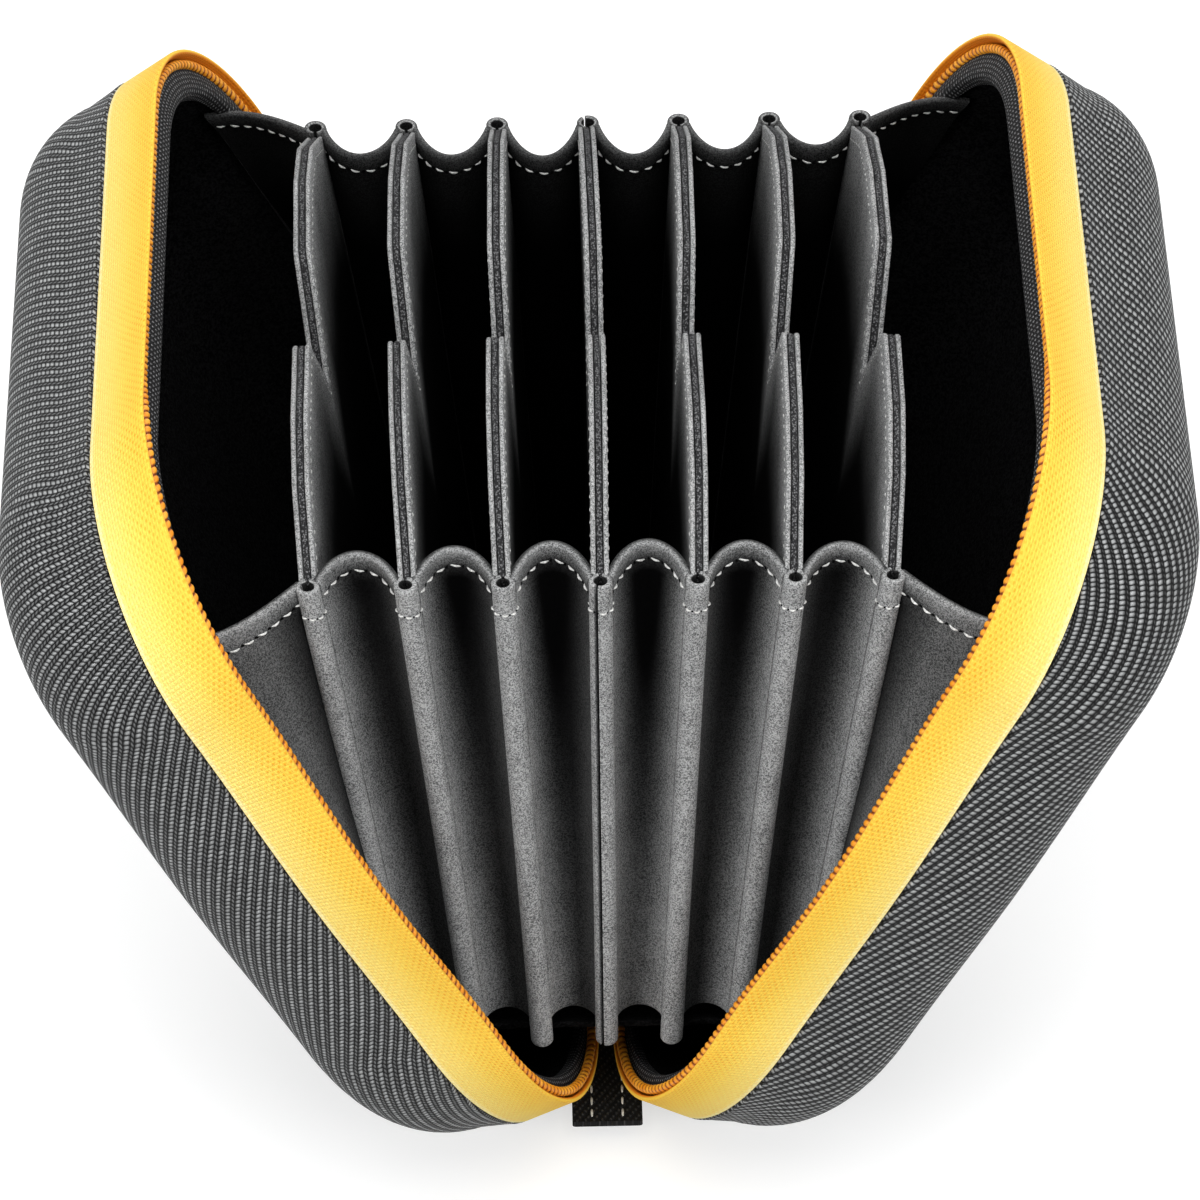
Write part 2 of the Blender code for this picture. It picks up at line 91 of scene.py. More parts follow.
class Graph:
    """Adds nodes to one node tree and wires them up."""

    def __init__(self, tree: bpy.types.NodeTree) -> None:
        """Keeps the tree that nodes are added to.

        Args:
            tree: The node tree of a material, a world or a node group.
        """
        self.tree = tree

    def feed(self, socket: Socket, value: object) -> None:
        """Sets a socket to a constant, or links another socket to it.

        Args:
            socket: The input to fill.
            value: A number, a tuple or an output socket.
        """
        if isinstance(value, bpy.types.NodeSocket):
            self.tree.links.new(value, socket)
        else:
            socket.default_value = value

    def node(self, kind: str, inputs: Optional[dict] = None, **settings: object) -> bpy.types.Node:
        """Adds a node.

        Args:
            kind: Blender's name of the node type.
            inputs: Values or sockets for its inputs, by name or index.
            **settings: Properties set on the node.

        Returns:
            The new node.
        """
        made = self.tree.nodes.new(kind)
        for key, value in settings.items():
            setattr(made, key, value)
        for key, value in (inputs or {}).items():
            self.feed(made.inputs[key], value)
        return made

    def math(self, operation: str, *values: object, clamp: bool = False) -> Socket:
        """Adds a Math node.

        Args:
            operation: Its operation, such as MULTIPLY.
            *values: Its inputs in order.
            clamp: Whether the result is kept from 0 to 1.

        Returns:
            Its output.
        """
        made = self.node("ShaderNodeMath", operation=operation, use_clamp=clamp)
        for socket, value in zip(made.inputs, values):
            self.feed(socket, value)
        return made.outputs[0]

    def times(self, first: object, second: object, clamp: bool = False) -> Socket:
        """Multiplies two values."""
        return self.math("MULTIPLY", first, second, clamp=clamp)

    def line(self, value: object, slope: float, base: float) -> Socket:
        """A value times a slope, plus a base."""
        return self.math("ADD", self.times(value, slope), base)

    def smooth(
        self, value: object, low: float, high: float, to_low: float = 0.0, to_high: float = 1.0,
    ) -> Socket:
        """Adds a Map Range node with a smooth step.

        Args:
            value: The number to map.
            low: Where the step starts.
            high: Where the step ends.
            to_low: Result at the start.
            to_high: Result at the end.

        Returns:
            The mapped number.
        """
        made = self.node("ShaderNodeMapRange", interpolation_type="SMOOTHSTEP")
        labels = ("Value", "From Min", "From Max", "To Min", "To Max")
        for label, number in zip(labels, (value, low, high, to_low, to_high)):
            self.feed(made.inputs[label], number)
        return made.outputs["Result"]

    def mix(self, factor: object, first: object, second: object) -> Socket:
        """Mixes two colours.

        Args:
            factor: Share of the second colour.
            first: Colour at 0.
            second: Colour at 1.

        Returns:
            The mixed colour.
        """
        made = self.node("ShaderNodeMix", data_type="RGBA")
        self.feed(made.inputs["Factor"], factor)
        for index, colour in ((6, first), (7, second)):
            self.feed(made.inputs[index], rgba(colour) if isinstance(colour, tuple) else colour)
        return made.outputs[2]

    def attribute(self, name: str) -> bpy.types.Node:
        """Adds an Attribute node that reads a surface value of the mesh."""
        return self.node("ShaderNodeAttribute", attribute_name=name)

    def noise(
        self, vector: object, scale: float, detail: float = 2.0, roughness: float = 0.5,
    ) -> Socket:
        """Adds a Noise Texture, about 0.5 on average, scaled in grains to the metre."""
        inputs = {"Vector": vector, "Scale": scale, "Detail": detail, "Roughness": roughness}
        return self.node("ShaderNodeTexNoise", inputs).outputs[0]

    def place(self) -> Socket:
        """Adds the object's own coordinates, in metres."""
        return self.node("ShaderNodeTexCoord").outputs["Object"]


def rgba(colour: Sequence[float]) -> tuple[float, float, float, float]:
    """A linear colour with full opacity, as a shader socket takes it."""
    return (colour[0], colour[1], colour[2], 1.0)


class ShaderGroups:
    """Effects that several materials share, each a node group that is built once."""

    def start(
        self, name: str, inputs: dict[str, Optional[float]], outputs: Sequence[str],
    ) -> tuple[Graph, Sequence[Socket], Sequence[Socket]]:
        """Starts a node group with its sockets.

        Args:
            name: The group's name.
            inputs: Default of each input number, or None for a vector.
            outputs: Names of the numbers that it puts out.

        Returns:
            The group's graph, the sockets that give its inputs and those that take its outputs.
        """
        tree = bpy.data.node_groups.new(name, "ShaderNodeTree")
        for label, default in inputs.items():
            kind = "NodeSocketVector" if default is None else "NodeSocketFloat"
            socket = tree.interface.new_socket(name=label, in_out="INPUT", socket_type=kind)
            if default is not None:
                socket.default_value = default
        for label in outputs:
            tree.interface.new_socket(name=label, in_out="OUTPUT", socket_type="NodeSocketFloat")
        graph = Graph(tree)
        source, target = graph.node("NodeGroupInput"), graph.node("NodeGroupOutput")
        return graph, source.outputs, target.inputs

    @cache
    def grain(self) -> bpy.types.NodeTree:
        """Matted or brushed fibres: a speckle, soft blotches and a height.

        Returns:
            The node group.
        """
        coarse_scale, fine_share, coarse_share = 0.55, 0.65, 0.35
        inputs = {"Vector": None, "Grains per Metre": 4000.0, "Blotches per Metre": 120.0}
        graph, source, target = self.start("fibre_grain", inputs, ("Speckle", "Blotch", "Height"))
        place, grains = source["Vector"], source["Grains per Metre"]
        fine = graph.noise(place, grains, 3.0, 0.65)
        coarse = graph.noise(place, graph.times(grains, coarse_scale), 2.0, 0.6)
        blotch = graph.noise(place, source["Blotches per Metre"], 3.0, 0.55)
        speckle = graph.math("ADD", graph.times(fine, fine_share), graph.times(coarse, coarse_share))
        graph.feed(target["Speckle"], graph.smooth(speckle, 0.42, 0.58))
        graph.feed(target["Blotch"], graph.smooth(blotch, 0.3, 0.7))
        graph.feed(target["Height"], speckle)
        return graph.tree

    @cache
    def plain_weave(self) -> bpy.types.NodeTree:
        """Over-and-under threads of a narrow woven tape.

        Returns:
            The node group.
        """
        inputs = {"Vector": None, "Warp Pitch": 0.0006, "Weft Pitch": 0.0006}
        graph, source, target = self.start("plain_weave", inputs, ("Height", "Crossing"))
        parts = graph.node("ShaderNodeSeparateXYZ", {0: source["Vector"]})
        waves = []
        for axis, pitch in enumerate(("Warp Pitch", "Weft Pitch")):
            threads = graph.math("DIVIDE", parts.outputs[axis], source[pitch])
            waves.append(graph.math("SINE", graph.times(threads, math.pi)))
        checks = graph.times(*waves)
        graph.feed(target["Height"], graph.math("ABSOLUTE", checks))
        graph.feed(target["Crossing"], graph.line(checks, 0.5, 0.5))
        return graph.tree

    @cache
    def rib_weave(self) -> bpy.types.NodeTree:
        """Ribs of two rows of floats: a raised row, and a lower one that slants the other way.

        Returns:
            The node group.
        """
        fullness, bead_share, float_highlight_share = 0.55, 0.6, 0.3
        inputs = {
            "Vector": None, "Rib Pitch": 0.0018, "Float Pitch": 0.001, "Slant": 0.5,
            "Back Slant": -1.6, "Rib Share": 0.58, "Back Level": 0.4,
        }
        graph, source, target = self.start("rib_weave", inputs, ("Height", "Float", "Variation"))
        rib_share = source["Rib Share"]
        parts = graph.node("ShaderNodeSeparateXYZ", {0: source["Vector"]})
        across = graph.math("DIVIDE", parts.outputs[0], source["Rib Pitch"])
        along = graph.math("DIVIDE", parts.outputs[1], source["Float Pitch"])
        inside = graph.math("FRACT", across)
        rest = graph.math("SUBTRACT", 1.0, rib_share)
        front = graph.math("DIVIDE", inside, rib_share, clamp=True)
        back = graph.math("DIVIDE", graph.math("SUBTRACT", inside, rib_share), rest, clamp=True)
        shift = graph.times(graph.times(front, rib_share), source["Slant"])
        back_shift = graph.times(graph.times(back, rest), source["Back Slant"])
        slanted = graph.math("ADD", along, graph.math("ADD", shift, back_shift))
        turn = graph.times(graph.math("FRACT", slanted), math.pi)
        bead = graph.math("POWER", graph.math("SINE", turn), fullness)
        rows = []
        for place in (front, back):
            arch = graph.math("MAXIMUM", graph.math("SINE", graph.times(place, math.pi)), 0.0)
            rows.append(graph.math("POWER", arch, fullness))
        # The back row is dimmed by Back Level: partly its lower relief, partly painted shade.
        row = graph.math("ADD", rows[0], graph.times(rows[1], source["Back Level"]))
        # Painted highlight: each float is paler towards one end.
        lean = graph.line(front, float_highlight_share, 1 - float_highlight_share)
        cell = graph.node("ShaderNodeCombineXYZ", {
            0: graph.math("FLOOR", across), 1: graph.math("FLOOR", slanted),
        })
        cell_place = {"Vector": cell.outputs[0]}
        white = graph.node("ShaderNodeTexWhiteNoise", cell_place, noise_dimensions="3D")
        graph.feed(target["Height"], graph.times(row, graph.line(bead, bead_share, 1 - bead_share)))
        graph.feed(target["Float"], graph.times(graph.times(row, bead), lean))
        graph.feed(target["Variation"], white.outputs[0])
        return graph.tree

    def add_grain(
        self, graph: Graph, place: Socket, grains: float, blotches: float,
    ) -> Sequence[Socket]:
        """Adds the fibre grain to a material.

        Args:
            graph: The material's graph.
            place: Where it is sampled.
            grains: Grains to the metre.
            blotches: Blotches to the metre.

        Returns:
            Its outputs.
        """
        inputs = {"Vector": place, "Grains per Metre": grains, "Blotches per Metre": blotches}
        return graph.node("ShaderNodeGroup", inputs, node_tree=self.grain()).outputs


GROUPS = ShaderGroups()


# Finishes


@dataclass(frozen=True)
class Look:
    """What a finish feeds to its material. The rise is how high 1 stands, in metres."""

    colour: Socket
    height: Socket
    rise: float
    roughness: Optional[Socket] = None


@dataclass(frozen=True)
class Finish:
    """Base of every finish: a Principled material with its own nodes."""

    name: str
    roughness: float = 0.8
    specular: float = 0.3
    bump: float = 0.0
    metallic: float = 0.0

    def material(self) -> bpy.types.Material:
        """Builds the material, or finds it if it is there.

        Returns:
            The material.
        """
        found = bpy.data.materials.get(self.name)
        if found:
            return found
        made = bpy.data.materials.new(self.name)
        made.use_nodes = True
        graph = Graph(made.node_tree)
        shader = made.node_tree.nodes["Principled BSDF"]
        shader.inputs["Roughness"].default_value = self.roughness
        shader.inputs["Specular IOR Level"].default_value = self.specular
        shader.inputs["Metallic"].default_value = self.metallic
        look = self.dress(graph)
        graph.feed(shader.inputs["Base Color"], look.colour)
        if look.roughness is not None:
            graph.feed(shader.inputs["Roughness"], look.roughness)
        inputs = {"Strength": self.bump, "Distance": look.rise, "Height": look.height}
        graph.feed(shader.inputs["Normal"], graph.node("ShaderNodeBump", inputs).outputs[0])
        return made

    def dress(self, graph: Graph) -> Look:
        """Adds the finish's own nodes.

        Args:
            graph: The material's graph.

        Returns:
            What they feed to the material.
        """
        raise NotImplementedError


@dataclass(frozen=True)
class RibbedNylon(Finish):
    """Woven outer cloth with raised ribs of slanted floats, with painted shade in the gaps and a painted
    highlight at one end of each float.
    """

    top_colour: tuple = (0.42, 0.43, 0.434)
    # Painted shade in the grooves between ribs and floats.
    gap_colour: tuple = (0.0022, 0.0022, 0.0024)
    rib_pitch: float = 0.00178
    float_pitch: float = 0.00098
    slant: float = 0.45
    back_slant: float = -1.6
    rib_share: float = 0.69
    back_level: float = 0.34
    height: float = 0.0006
    mask_start: float = 0.16
    mask_end: float = 0.9

    def dress(self, graph: Graph) -> Look:
        """Colours floats and gaps with painted highlight and shade, and raises the ribs."""
        cloth = graph.attribute("fabric").outputs["Vector"]
        weave = graph.node("ShaderNodeGroup", {
            "Vector": cloth, "Rib Pitch": self.rib_pitch, "Float Pitch": self.float_pitch,
            "Slant": self.slant, "Back Slant": self.back_slant, "Rib Share": self.rib_share,
            "Back Level": self.back_level,
        }, node_tree=GROUPS.rib_weave()).outputs
        grain = GROUPS.add_grain(graph, cloth, 9000.0, 60.0)
        varied = graph.line(weave["Variation"], 0.4, 0.7)
        worn = graph.times(varied, graph.line(grain["Speckle"], 0.4, 0.75))
        floats = graph.smooth(weave["Float"], self.mask_start, self.mask_end)
        mask = graph.times(floats, worn, clamp=True)
        colour = graph.mix(mask, self.gap_colour, self.top_colour)
        rough = graph.math("SUBTRACT", self.roughness + 0.2, graph.times(mask, 0.3))
        return Look(colour, weave["Height"], self.height, rough)


@dataclass(frozen=True)
class ZipperTapeCloth(Finish):
    """Yellow woven tape: painted highlight makes it pale towards its sewn edge, it keeps its own
    orange-yellow towards the coil, and painted shade makes its inner face darker orange.
    """

    edge_colour: tuple = (0.96, 0.88, 0.46)
    outer_colour: tuple = (0.95, 0.75, 0.22)
    middle_colour: tuple = (0.94, 0.655, 0.1)
    rim_colour: tuple = (0.93, 0.57, 0.06)
    dot_colour: tuple = (0.85, 0.33, 0.008)
    inside_colour: tuple = (0.80, 0.24, 0.006)
    warp_pitch: float = 0.0005
    weft_pitch: float = 0.0008

    def dress(self, graph: Graph) -> Look:
        """Colours the tape across its width with painted highlight and shade, and weaves it."""
        cloth = graph.attribute("fabric").outputs["Vector"]
        across = graph.attribute("across").outputs["Fac"]
        outside = graph.attribute("shade").outputs["Fac"]
        weave = graph.node("ShaderNodeGroup", {
            "Vector": cloth, "Warp Pitch": self.warp_pitch, "Weft Pitch": self.weft_pitch,
        }, node_tree=GROUPS.plain_weave()).outputs
        grain = GROUPS.add_grain(graph, cloth, 2600.0, 110.0)
        # Painted highlight: paler from the middle towards the sewn edge, with a cream line at the edge.
        colour = graph.mix(graph.smooth(across, 0.3, 1.0), self.middle_colour, self.outer_colour)
        colour = graph.mix(graph.smooth(across, 0.05, 0.5, 1.0, 0.0), colour, self.rim_colour)
        colour = graph.mix(graph.smooth(across, 0.9, 0.99), colour, self.edge_colour)
        # Dots at the weave's crossings: partly the weave's pattern, partly painted shade.
        crossings = graph.smooth(weave["Crossing"], 0.6, 0.95)
        dots = graph.times(crossings, graph.line(grain["Blotch"], 0.75, 0.3))
        tint = graph.times(dots, graph.smooth(across, 0.05, 0.75, 1.0, 0.3))
        colour = graph.mix(tint, colour, self.dot_colour)
        # Partly fibre grain, partly painted shade between the threads.
        threads = graph.times(graph.smooth(weave["Height"], 0.0, 0.5, 1.0, 0.0), 0.2)
        threads = graph.math("ADD", threads, graph.times(grain["Speckle"], 0.3))
        colour = graph.mix(threads, colour, self.rim_colour)
        # Painted shade: the tape's inner face is darker orange.
        colour = graph.mix(outside, self.inside_colour, colour)
        return Look(colour, weave["Height"], 0.00025)


@dataclass(frozen=True)
class CoilNylon(Finish):
    """Smooth nylon of the zipper's coil."""

    colour: tuple = (0.90, 0.40, 0.035)
    faded_colour: tuple = (0.80, 0.28, 0.012)
    groove_colour: tuple = (0.20, 0.035, 0.0)

    def dress(self, graph: Graph) -> Look:
        """Paints shade into the groove between the coil's turns."""
        spots = graph.smooth(graph.noise(graph.place(), 400.0), 0.35, 0.65)
        colour = graph.mix(spots, self.colour, self.faded_colour)
        turn = graph.smooth(graph.attribute("shade").outputs["Fac"], 0.45, 0.92)
        colour = graph.mix(turn, self.groove_colour, colour)
        return Look(colour, graph.noise(graph.place(), 5000.0), 0.00005)


@dataclass(frozen=True)
class Felt(Finish):
    """Short matted felt: grey fibres over dark ones, with painted light where it stands out and painted
    shade deeper in.
    """

    light_colour: tuple = (0.53, 0.535, 0.535)
    dark_colour: tuple = (0.09, 0.092, 0.093)
    # Painted shade: near-black felt where the shade attribute is 0.
    deep_colour: tuple = (0.0012, 0.0012, 0.0013)
    grains: float = 5200.0

    def dress(self, graph: Graph) -> Look:
        """Speckles the felt, paints its light and shade, and roughens it."""
        grain = GROUPS.add_grain(graph, graph.place(), self.grains, 160.0)
        specks, blotches = graph.times(grain["Speckle"], 0.85), graph.times(grain["Blotch"], 0.15)
        mask = graph.math("ADD", specks, blotches, clamp=True)
        colour = graph.mix(mask, self.dark_colour, self.light_colour)
        # Painted light and shade: the shade attribute darkens the felt towards its painted shade colour.
        painted_light_share = graph.attribute("shade").outputs["Fac"]
        colour = graph.mix(painted_light_share, self.deep_colour, colour)
        return Look(colour, grain["Height"], 0.0004)


@dataclass(frozen=True)
class BlackCloth(Finish):
    """Black webbing: ribs with painted highlights on their floats, broken by the fibre grain, across the
    band or as a slanted twill.
    """

    colour: tuple = (0.006, 0.006, 0.0065)
    fleck_colour: tuple = (0.3, 0.3, 0.305)
    rib_pitch: float = 0.0011
    float_pitch: float = 0.0008
    turn: float = math.radians(90)
    fleck_share: float = 1.4

    def dress(self, graph: Graph) -> Look:
        """Weaves the ribs and paints highlights on their floats."""
        cloth = graph.attribute("fabric").outputs["Vector"]
        spin = {"Vector": cloth, "Angle": self.turn}
        turned = graph.node("ShaderNodeVectorRotate", spin, rotation_type="Z_AXIS").outputs[0]
        weave = graph.node("ShaderNodeGroup", {
            "Vector": turned, "Rib Pitch": self.rib_pitch, "Float Pitch": self.float_pitch,
            "Slant": 0.6, "Back Slant": -0.6, "Rib Share": 0.75, "Back Level": 0.2,
        }, node_tree=GROUPS.rib_weave()).outputs
        grain = GROUPS.add_grain(graph, cloth, 5200.0, 200.0)
        lit = graph.times(graph.smooth(weave["Float"], 0.45, 1.0), grain["Speckle"])
        fleck_highlights = graph.times(lit, self.fleck_share, clamp=True)
        colour = graph.mix(fleck_highlights, self.colour, self.fleck_colour)
        return Look(colour, weave["Height"], 0.0004)


@dataclass(frozen=True)
class Fleece(Finish):
    """Black brushed fleece of the lining."""

    colour: tuple = (0.0025, 0.0025, 0.0028)
    fibre_colour: tuple = (0.014, 0.014, 0.0145)
    grains: float = 2600.0

    def dress(self, graph: Graph) -> Look:
        """Mottles the fleece."""
        grain = GROUPS.add_grain(graph, graph.place(), self.grains, 90.0)
        colour = graph.mix(grain["Speckle"], self.colour, self.fibre_colour)
        return Look(colour, grain["Height"], 0.0004)


@dataclass(frozen=True)
class Foam(Finish):
    """Closed-cell foam or granular board."""

    colour: tuple = (0.018, 0.018, 0.019)
    cell_colour: tuple = (0.17, 0.17, 0.175)
    cells: float = 2400.0

    def dress(self, graph: Graph) -> Look:
        """Draws the open cells of the cut foam."""
        cells = graph.node("ShaderNodeTexVoronoi", {"Vector": graph.place(), "Scale": self.cells})
        mask = graph.smooth(cells.outputs["Distance"], 0.15, 0.6)
        colour = graph.mix(mask, self.cell_colour, self.colour)
        return Look(colour, cells.outputs["Distance"], 0.00015)


@dataclass(frozen=True)
class Thread(Finish):
    """Twisted sewing thread."""

    colour: tuple = (0.78, 0.78, 0.76)
    strands: float = 3000.0

    def dress(self, graph: Graph) -> Look:
        """Shades the thread's twist."""
        spots = graph.smooth(graph.noise(graph.place(), self.strands), 0.35, 0.65)
        darker = tuple(part * 0.6 for part in self.colour)
        colour = graph.mix(spots, self.colour, darker)
        return Look(colour, graph.noise(graph.place(), self.strands), 0.00005)


@dataclass(frozen=True)
class Enamel(Finish):
    """Dark enamelled zinc of the slider, worn a little."""

    colour: tuple = (0.022, 0.022, 0.024)
    worn_colour: tuple = (0.09, 0.09, 0.095)

    def dress(self, graph: Graph) -> Look:
        """Clouds the enamel and scratches its gloss."""
        wear = graph.smooth(graph.noise(graph.place(), 900.0, 4.0, 0.6), 0.5, 0.75)
        colour = graph.mix(wear, self.colour, self.worn_colour)
        rough = graph.line(wear, 0.2, self.roughness)
        return Look(colour, graph.noise(graph.place(), 2500.0), 0.00003, rough)


@dataclass(frozen=True)
class Finishes:
    """Every finish of the case."""

    nylon: Finish = RibbedNylon("ribbed_nylon", roughness=0.45, specular=0.14, bump=1.0)
    # Left tray's copy: besides the mirrored slant, its back row is less dimmed than on the right tray,
    # where that row is in painted shade.
    steep_nylon: Finish = RibbedNylon(
        "ribbed_nylon_left", roughness=0.45, specular=0.14, bump=1.0, rib_pitch=0.00162, slant=-0.85,
        back_slant=1.6, rib_share=0.6, back_level=0.5,
    )
    tape: Finish = ZipperTapeCloth("yellow_tape", roughness=0.7, specular=0.25, bump=0.5)
    coil: Finish = CoilNylon("orange_coil", roughness=0.45, specular=0.35, bump=0.2)
    felt: Finish = Felt("grey_felt", roughness=0.95, specular=0.03, bump=0.9)
    binding: Finish = BlackCloth("ribbed_binding", roughness=0.85, specular=0.2, bump=1.0)
    webbing: Finish = BlackCloth(
        "black_twill", roughness=0.85, specular=0.15, bump=1.0, turn=math.radians(35), fleck_share=0.26,
    )
    fleece: Finish = Fleece("black_fleece", roughness=1.0, specular=0.01, bump=0.8)
    foam: Finish = Foam("moulded_foam", roughness=0.95, specular=0.1, bump=0.6)
    board: Finish = Foam("divider_board", roughness=0.95, specular=0.1, bump=0.6, cells=3200.0)
    thread: Finish = Thread("pale_thread", roughness=0.6, specular=0.3, bump=0.3)
    # Needle holes: near-black discs of painted shade.
    hole: Finish = Fleece(
        "needle_hole", roughness=1.0, specular=0.0, bump=0.1, fibre_colour=(0.008, 0.008, 0.008),
    )
    enamel: Finish = Enamel("dark_enamel", roughness=0.35, specular=0.5, bump=0.2, metallic=0.35)


FINISHES = Finishes()


# Meshes


@dataclass
class MeshParts:
    """Points, faces and surface values gathered before they become one piece."""

    points: list = field(default_factory=list)
    faces: list = field(default_factory=list)
    slots: list = field(default_factory=list)
    fabric: list = field(default_factory=list)
    across: list = field(default_factory=list)
    shade: list = field(default_factory=list)

    def add_points(
        self, points: np.ndarray, fabric: Optional[np.ndarray] = None,
        across: Optional[np.ndarray] = None, shade: Optional[np.ndarray] = None,
    ) -> int:
        """Adds points with their surface values.

        Args:
            points: N by 3, in metres.
            fabric: N by 3 cloth coordinates in metres, or the points themselves.
            across: N shares across a band, or zeros.
            shade: N shares from painted shade, 0, to painted light, 1, or ones.

        Returns:
            Index of the first new point.
        """
        first = sum(len(block) for block in self.points)
        count = len(points)
        self.points.append(points)
        self.fabric.append(points if fabric is None else fabric)
        self.across.append(np.zeros(count) if across is None else across)
        self.shade.append(np.ones(count) if shade is None else shade)
        return first

    def add_loft(self, loops: np.ndarray, slot: int = 0, **values: np.ndarray) -> None:
        """Adds a skin through closed loops of points, with the first and the last loop filled.

        Args:
            loops: L by P by 3: L loops of P points each.
            slot: Material slot of its faces.
            **values: Surface values, each L by P or L by P by 3.
        """
        rows, count = loops.shape[:2]
        flat = {key: value.reshape(rows * count, *value.shape[2:]) for key, value in values.items()}
        first = self.add_points(loops.reshape(-1, 3), **flat)
        row, column = np.meshgrid(np.arange(rows - 1), np.arange(count), indexing="ij")
        near, far = row * count, (row + 1) * count
        beside = (column + 1) % count
        quads = np.stack([near + column, near + beside, far + beside, far + column], axis=-1)
        quads = quads.reshape(-1, 4)
        made = (quads + first).tolist()
        made.append(list(range(first + count - 1, first - 1, -1)))
        made.append(list(range(first + (rows - 1) * count, first + rows * count)))
        corners = loops.reshape(-1, 3)[quads] - loops.reshape(-1, 3).mean(axis=0)
        volume = 0.0
        for corner in (1, 2):
            turned = np.cross(corners[:, corner], corners[:, corner + 1])
            volume += np.einsum("ij,ij->i", corners[:, 0], turned).sum()
        if volume < 0:
            made = [face[::-1] for face in made]
        self.faces += made
        self.slots += [slot] * len(made)

    def build(
        self, name: str, finishes: Sequence[Finish], sharp: float = math.radians(60),
    ) -> bpy.types.Object:
        """Turns what was gathered into one object whose faces point out.

        Args:
            name: The piece's name.
            finishes: Finish of each material slot.
            sharp: Angle above which an edge stays sharp.

        Returns:
            The new object.
        """
        mesh = bpy.data.meshes.new(name)
        mesh.from_pydata(np.concatenate(self.points).tolist(), [], self.faces)
        mesh.polygons.foreach_set("material_index", self.slots)
        for finish in finishes:
            mesh.materials.append(finish.material())
        fabric = mesh.attributes.new("fabric", "FLOAT_VECTOR", "POINT")
        fabric.data.foreach_set("vector", np.concatenate(self.fabric).astype(np.float32).ravel())
        for label, blocks in (("across", self.across), ("shade", self.shade)):
            values = mesh.attributes.new(label, "FLOAT", "POINT")
            values.data.foreach_set("value", np.concatenate(blocks).astype(np.float32))
        mesh.update()
        mesh.shade_smooth()
        mesh.set_sharp_from_angle(angle=sharp)
        made = bpy.data.objects.new(name, mesh)
        bpy.context.scene.collection.objects.link(made)
        return made


def sheet_loops(middle: np.ndarray, normal: np.ndarray, half: np.ndarray) -> np.ndarray:
    """Loops round a sheet, up one side and down the other.

    Args:
        middle: C by R by 3 points of its middle surface, in C columns.
        normal: C by R by 3 unit normals.
        half: C by R half thicknesses.

    Returns:
        C loops of 2R points.
    """
    step = normal * half[..., None]
    return np.concatenate([middle + step, (middle - step)[:, ::-1]], axis=1)


def both_sides(outer: np.ndarray, inner: np.ndarray) -> np.ndarray:
    """Values of a sheet's outer and inner side, in the order of its loops."""
    return np.concatenate([outer, inner[:, ::-1]], axis=1)


def flat_loop(x: np.ndarray, y: float, z: np.ndarray, half: np.ndarray) -> np.ndarray:
    """Loop round one section of a lying sheet, over its top and back along its underside.

    Args:
        x: Places along X.
        y: Place along Y.
        z: Heights of the sheet's middle.
        half: Half thicknesses.

    Returns:
        Points, twice as many as the places.
    """
    top, under = (np.stack([x, np.full(len(x), y), z + way * half], axis=1) for way in (1, -1))
    return np.concatenate([top, under[::-1]])


def unit(vectors: np.ndarray) -> np.ndarray:
    """Vectors at a length of 1."""
    return vectors / np.linalg.norm(vectors, axis=-1, keepdims=True)


def edge_spacing(
    count: int, edge: float, length: float, steps: Sequence[float] = (0.0, 0.12, 0.4, 1.0),
) -> np.ndarray:
    """Places along a sheet, closer together where its rounded edges turn.

    Args:
        count: Even steps between the two rounded edges.
        edge: How deep each rounded edge is.
        length: The sheet's whole length.
        steps: Shares of the edge's depth where points lie.

    Returns:
        Places from 0 to the length.
    """
    near = [edge * step for step in steps]
    far = [length - place for place in near[::-1]]
    middle = np.linspace(near[-1], far[0], count + 1)[1:-1]
    return np.array(near + middle.tolist() + far)


def edge_round(places: np.ndarray, edge: float, length: float, least: float = 0.35) -> np.ndarray:
    """Share of its thickness that a sheet has at each place, less towards rounded edges.

    Args:
        places: Places along the sheet.
        edge: How deep each rounded edge is.
        length: The sheet's whole length.
        least: Share left at the very edge.

    Returns:
        Shares from least to 1.
    """
    depth = np.clip(np.minimum(places, length - places) / edge, 0, 1)
    return least + (1 - least) * np.sqrt(np.clip(1 - (1 - depth) ** 2, 0, 1))


def lengths_along(line: np.ndarray) -> np.ndarray:
    """Distance along a line at each of its points."""
    return np.concatenate([[0], np.cumsum(np.linalg.norm(np.diff(line, axis=0), axis=1))])


def points_at(places: object, lengths: np.ndarray, line: np.ndarray) -> np.ndarray:
    """Points at distances along a line.

    Args:
        places: One distance, or several.
        lengths: Distance along the line at each of its points.
        line: N by 3 points, or N by 3 other values.

    Returns:
        One point, or one for each distance.
    """
    return np.stack([np.interp(places, lengths, line[:, axis]) for axis in range(3)], axis=-1)


def resample(line: np.ndarray, spacing: float) -> np.ndarray:
    """A line with points an even way apart.

    Args:
        line: N by 3 points.
        spacing: Wanted distance between points.

    Returns:
        The evened line.
    """
    lengths = lengths_along(line)
    count = max(int(round(lengths[-1] / spacing)), 2)
    return points_at(np.linspace(0, lengths[-1], count + 1), lengths, line)


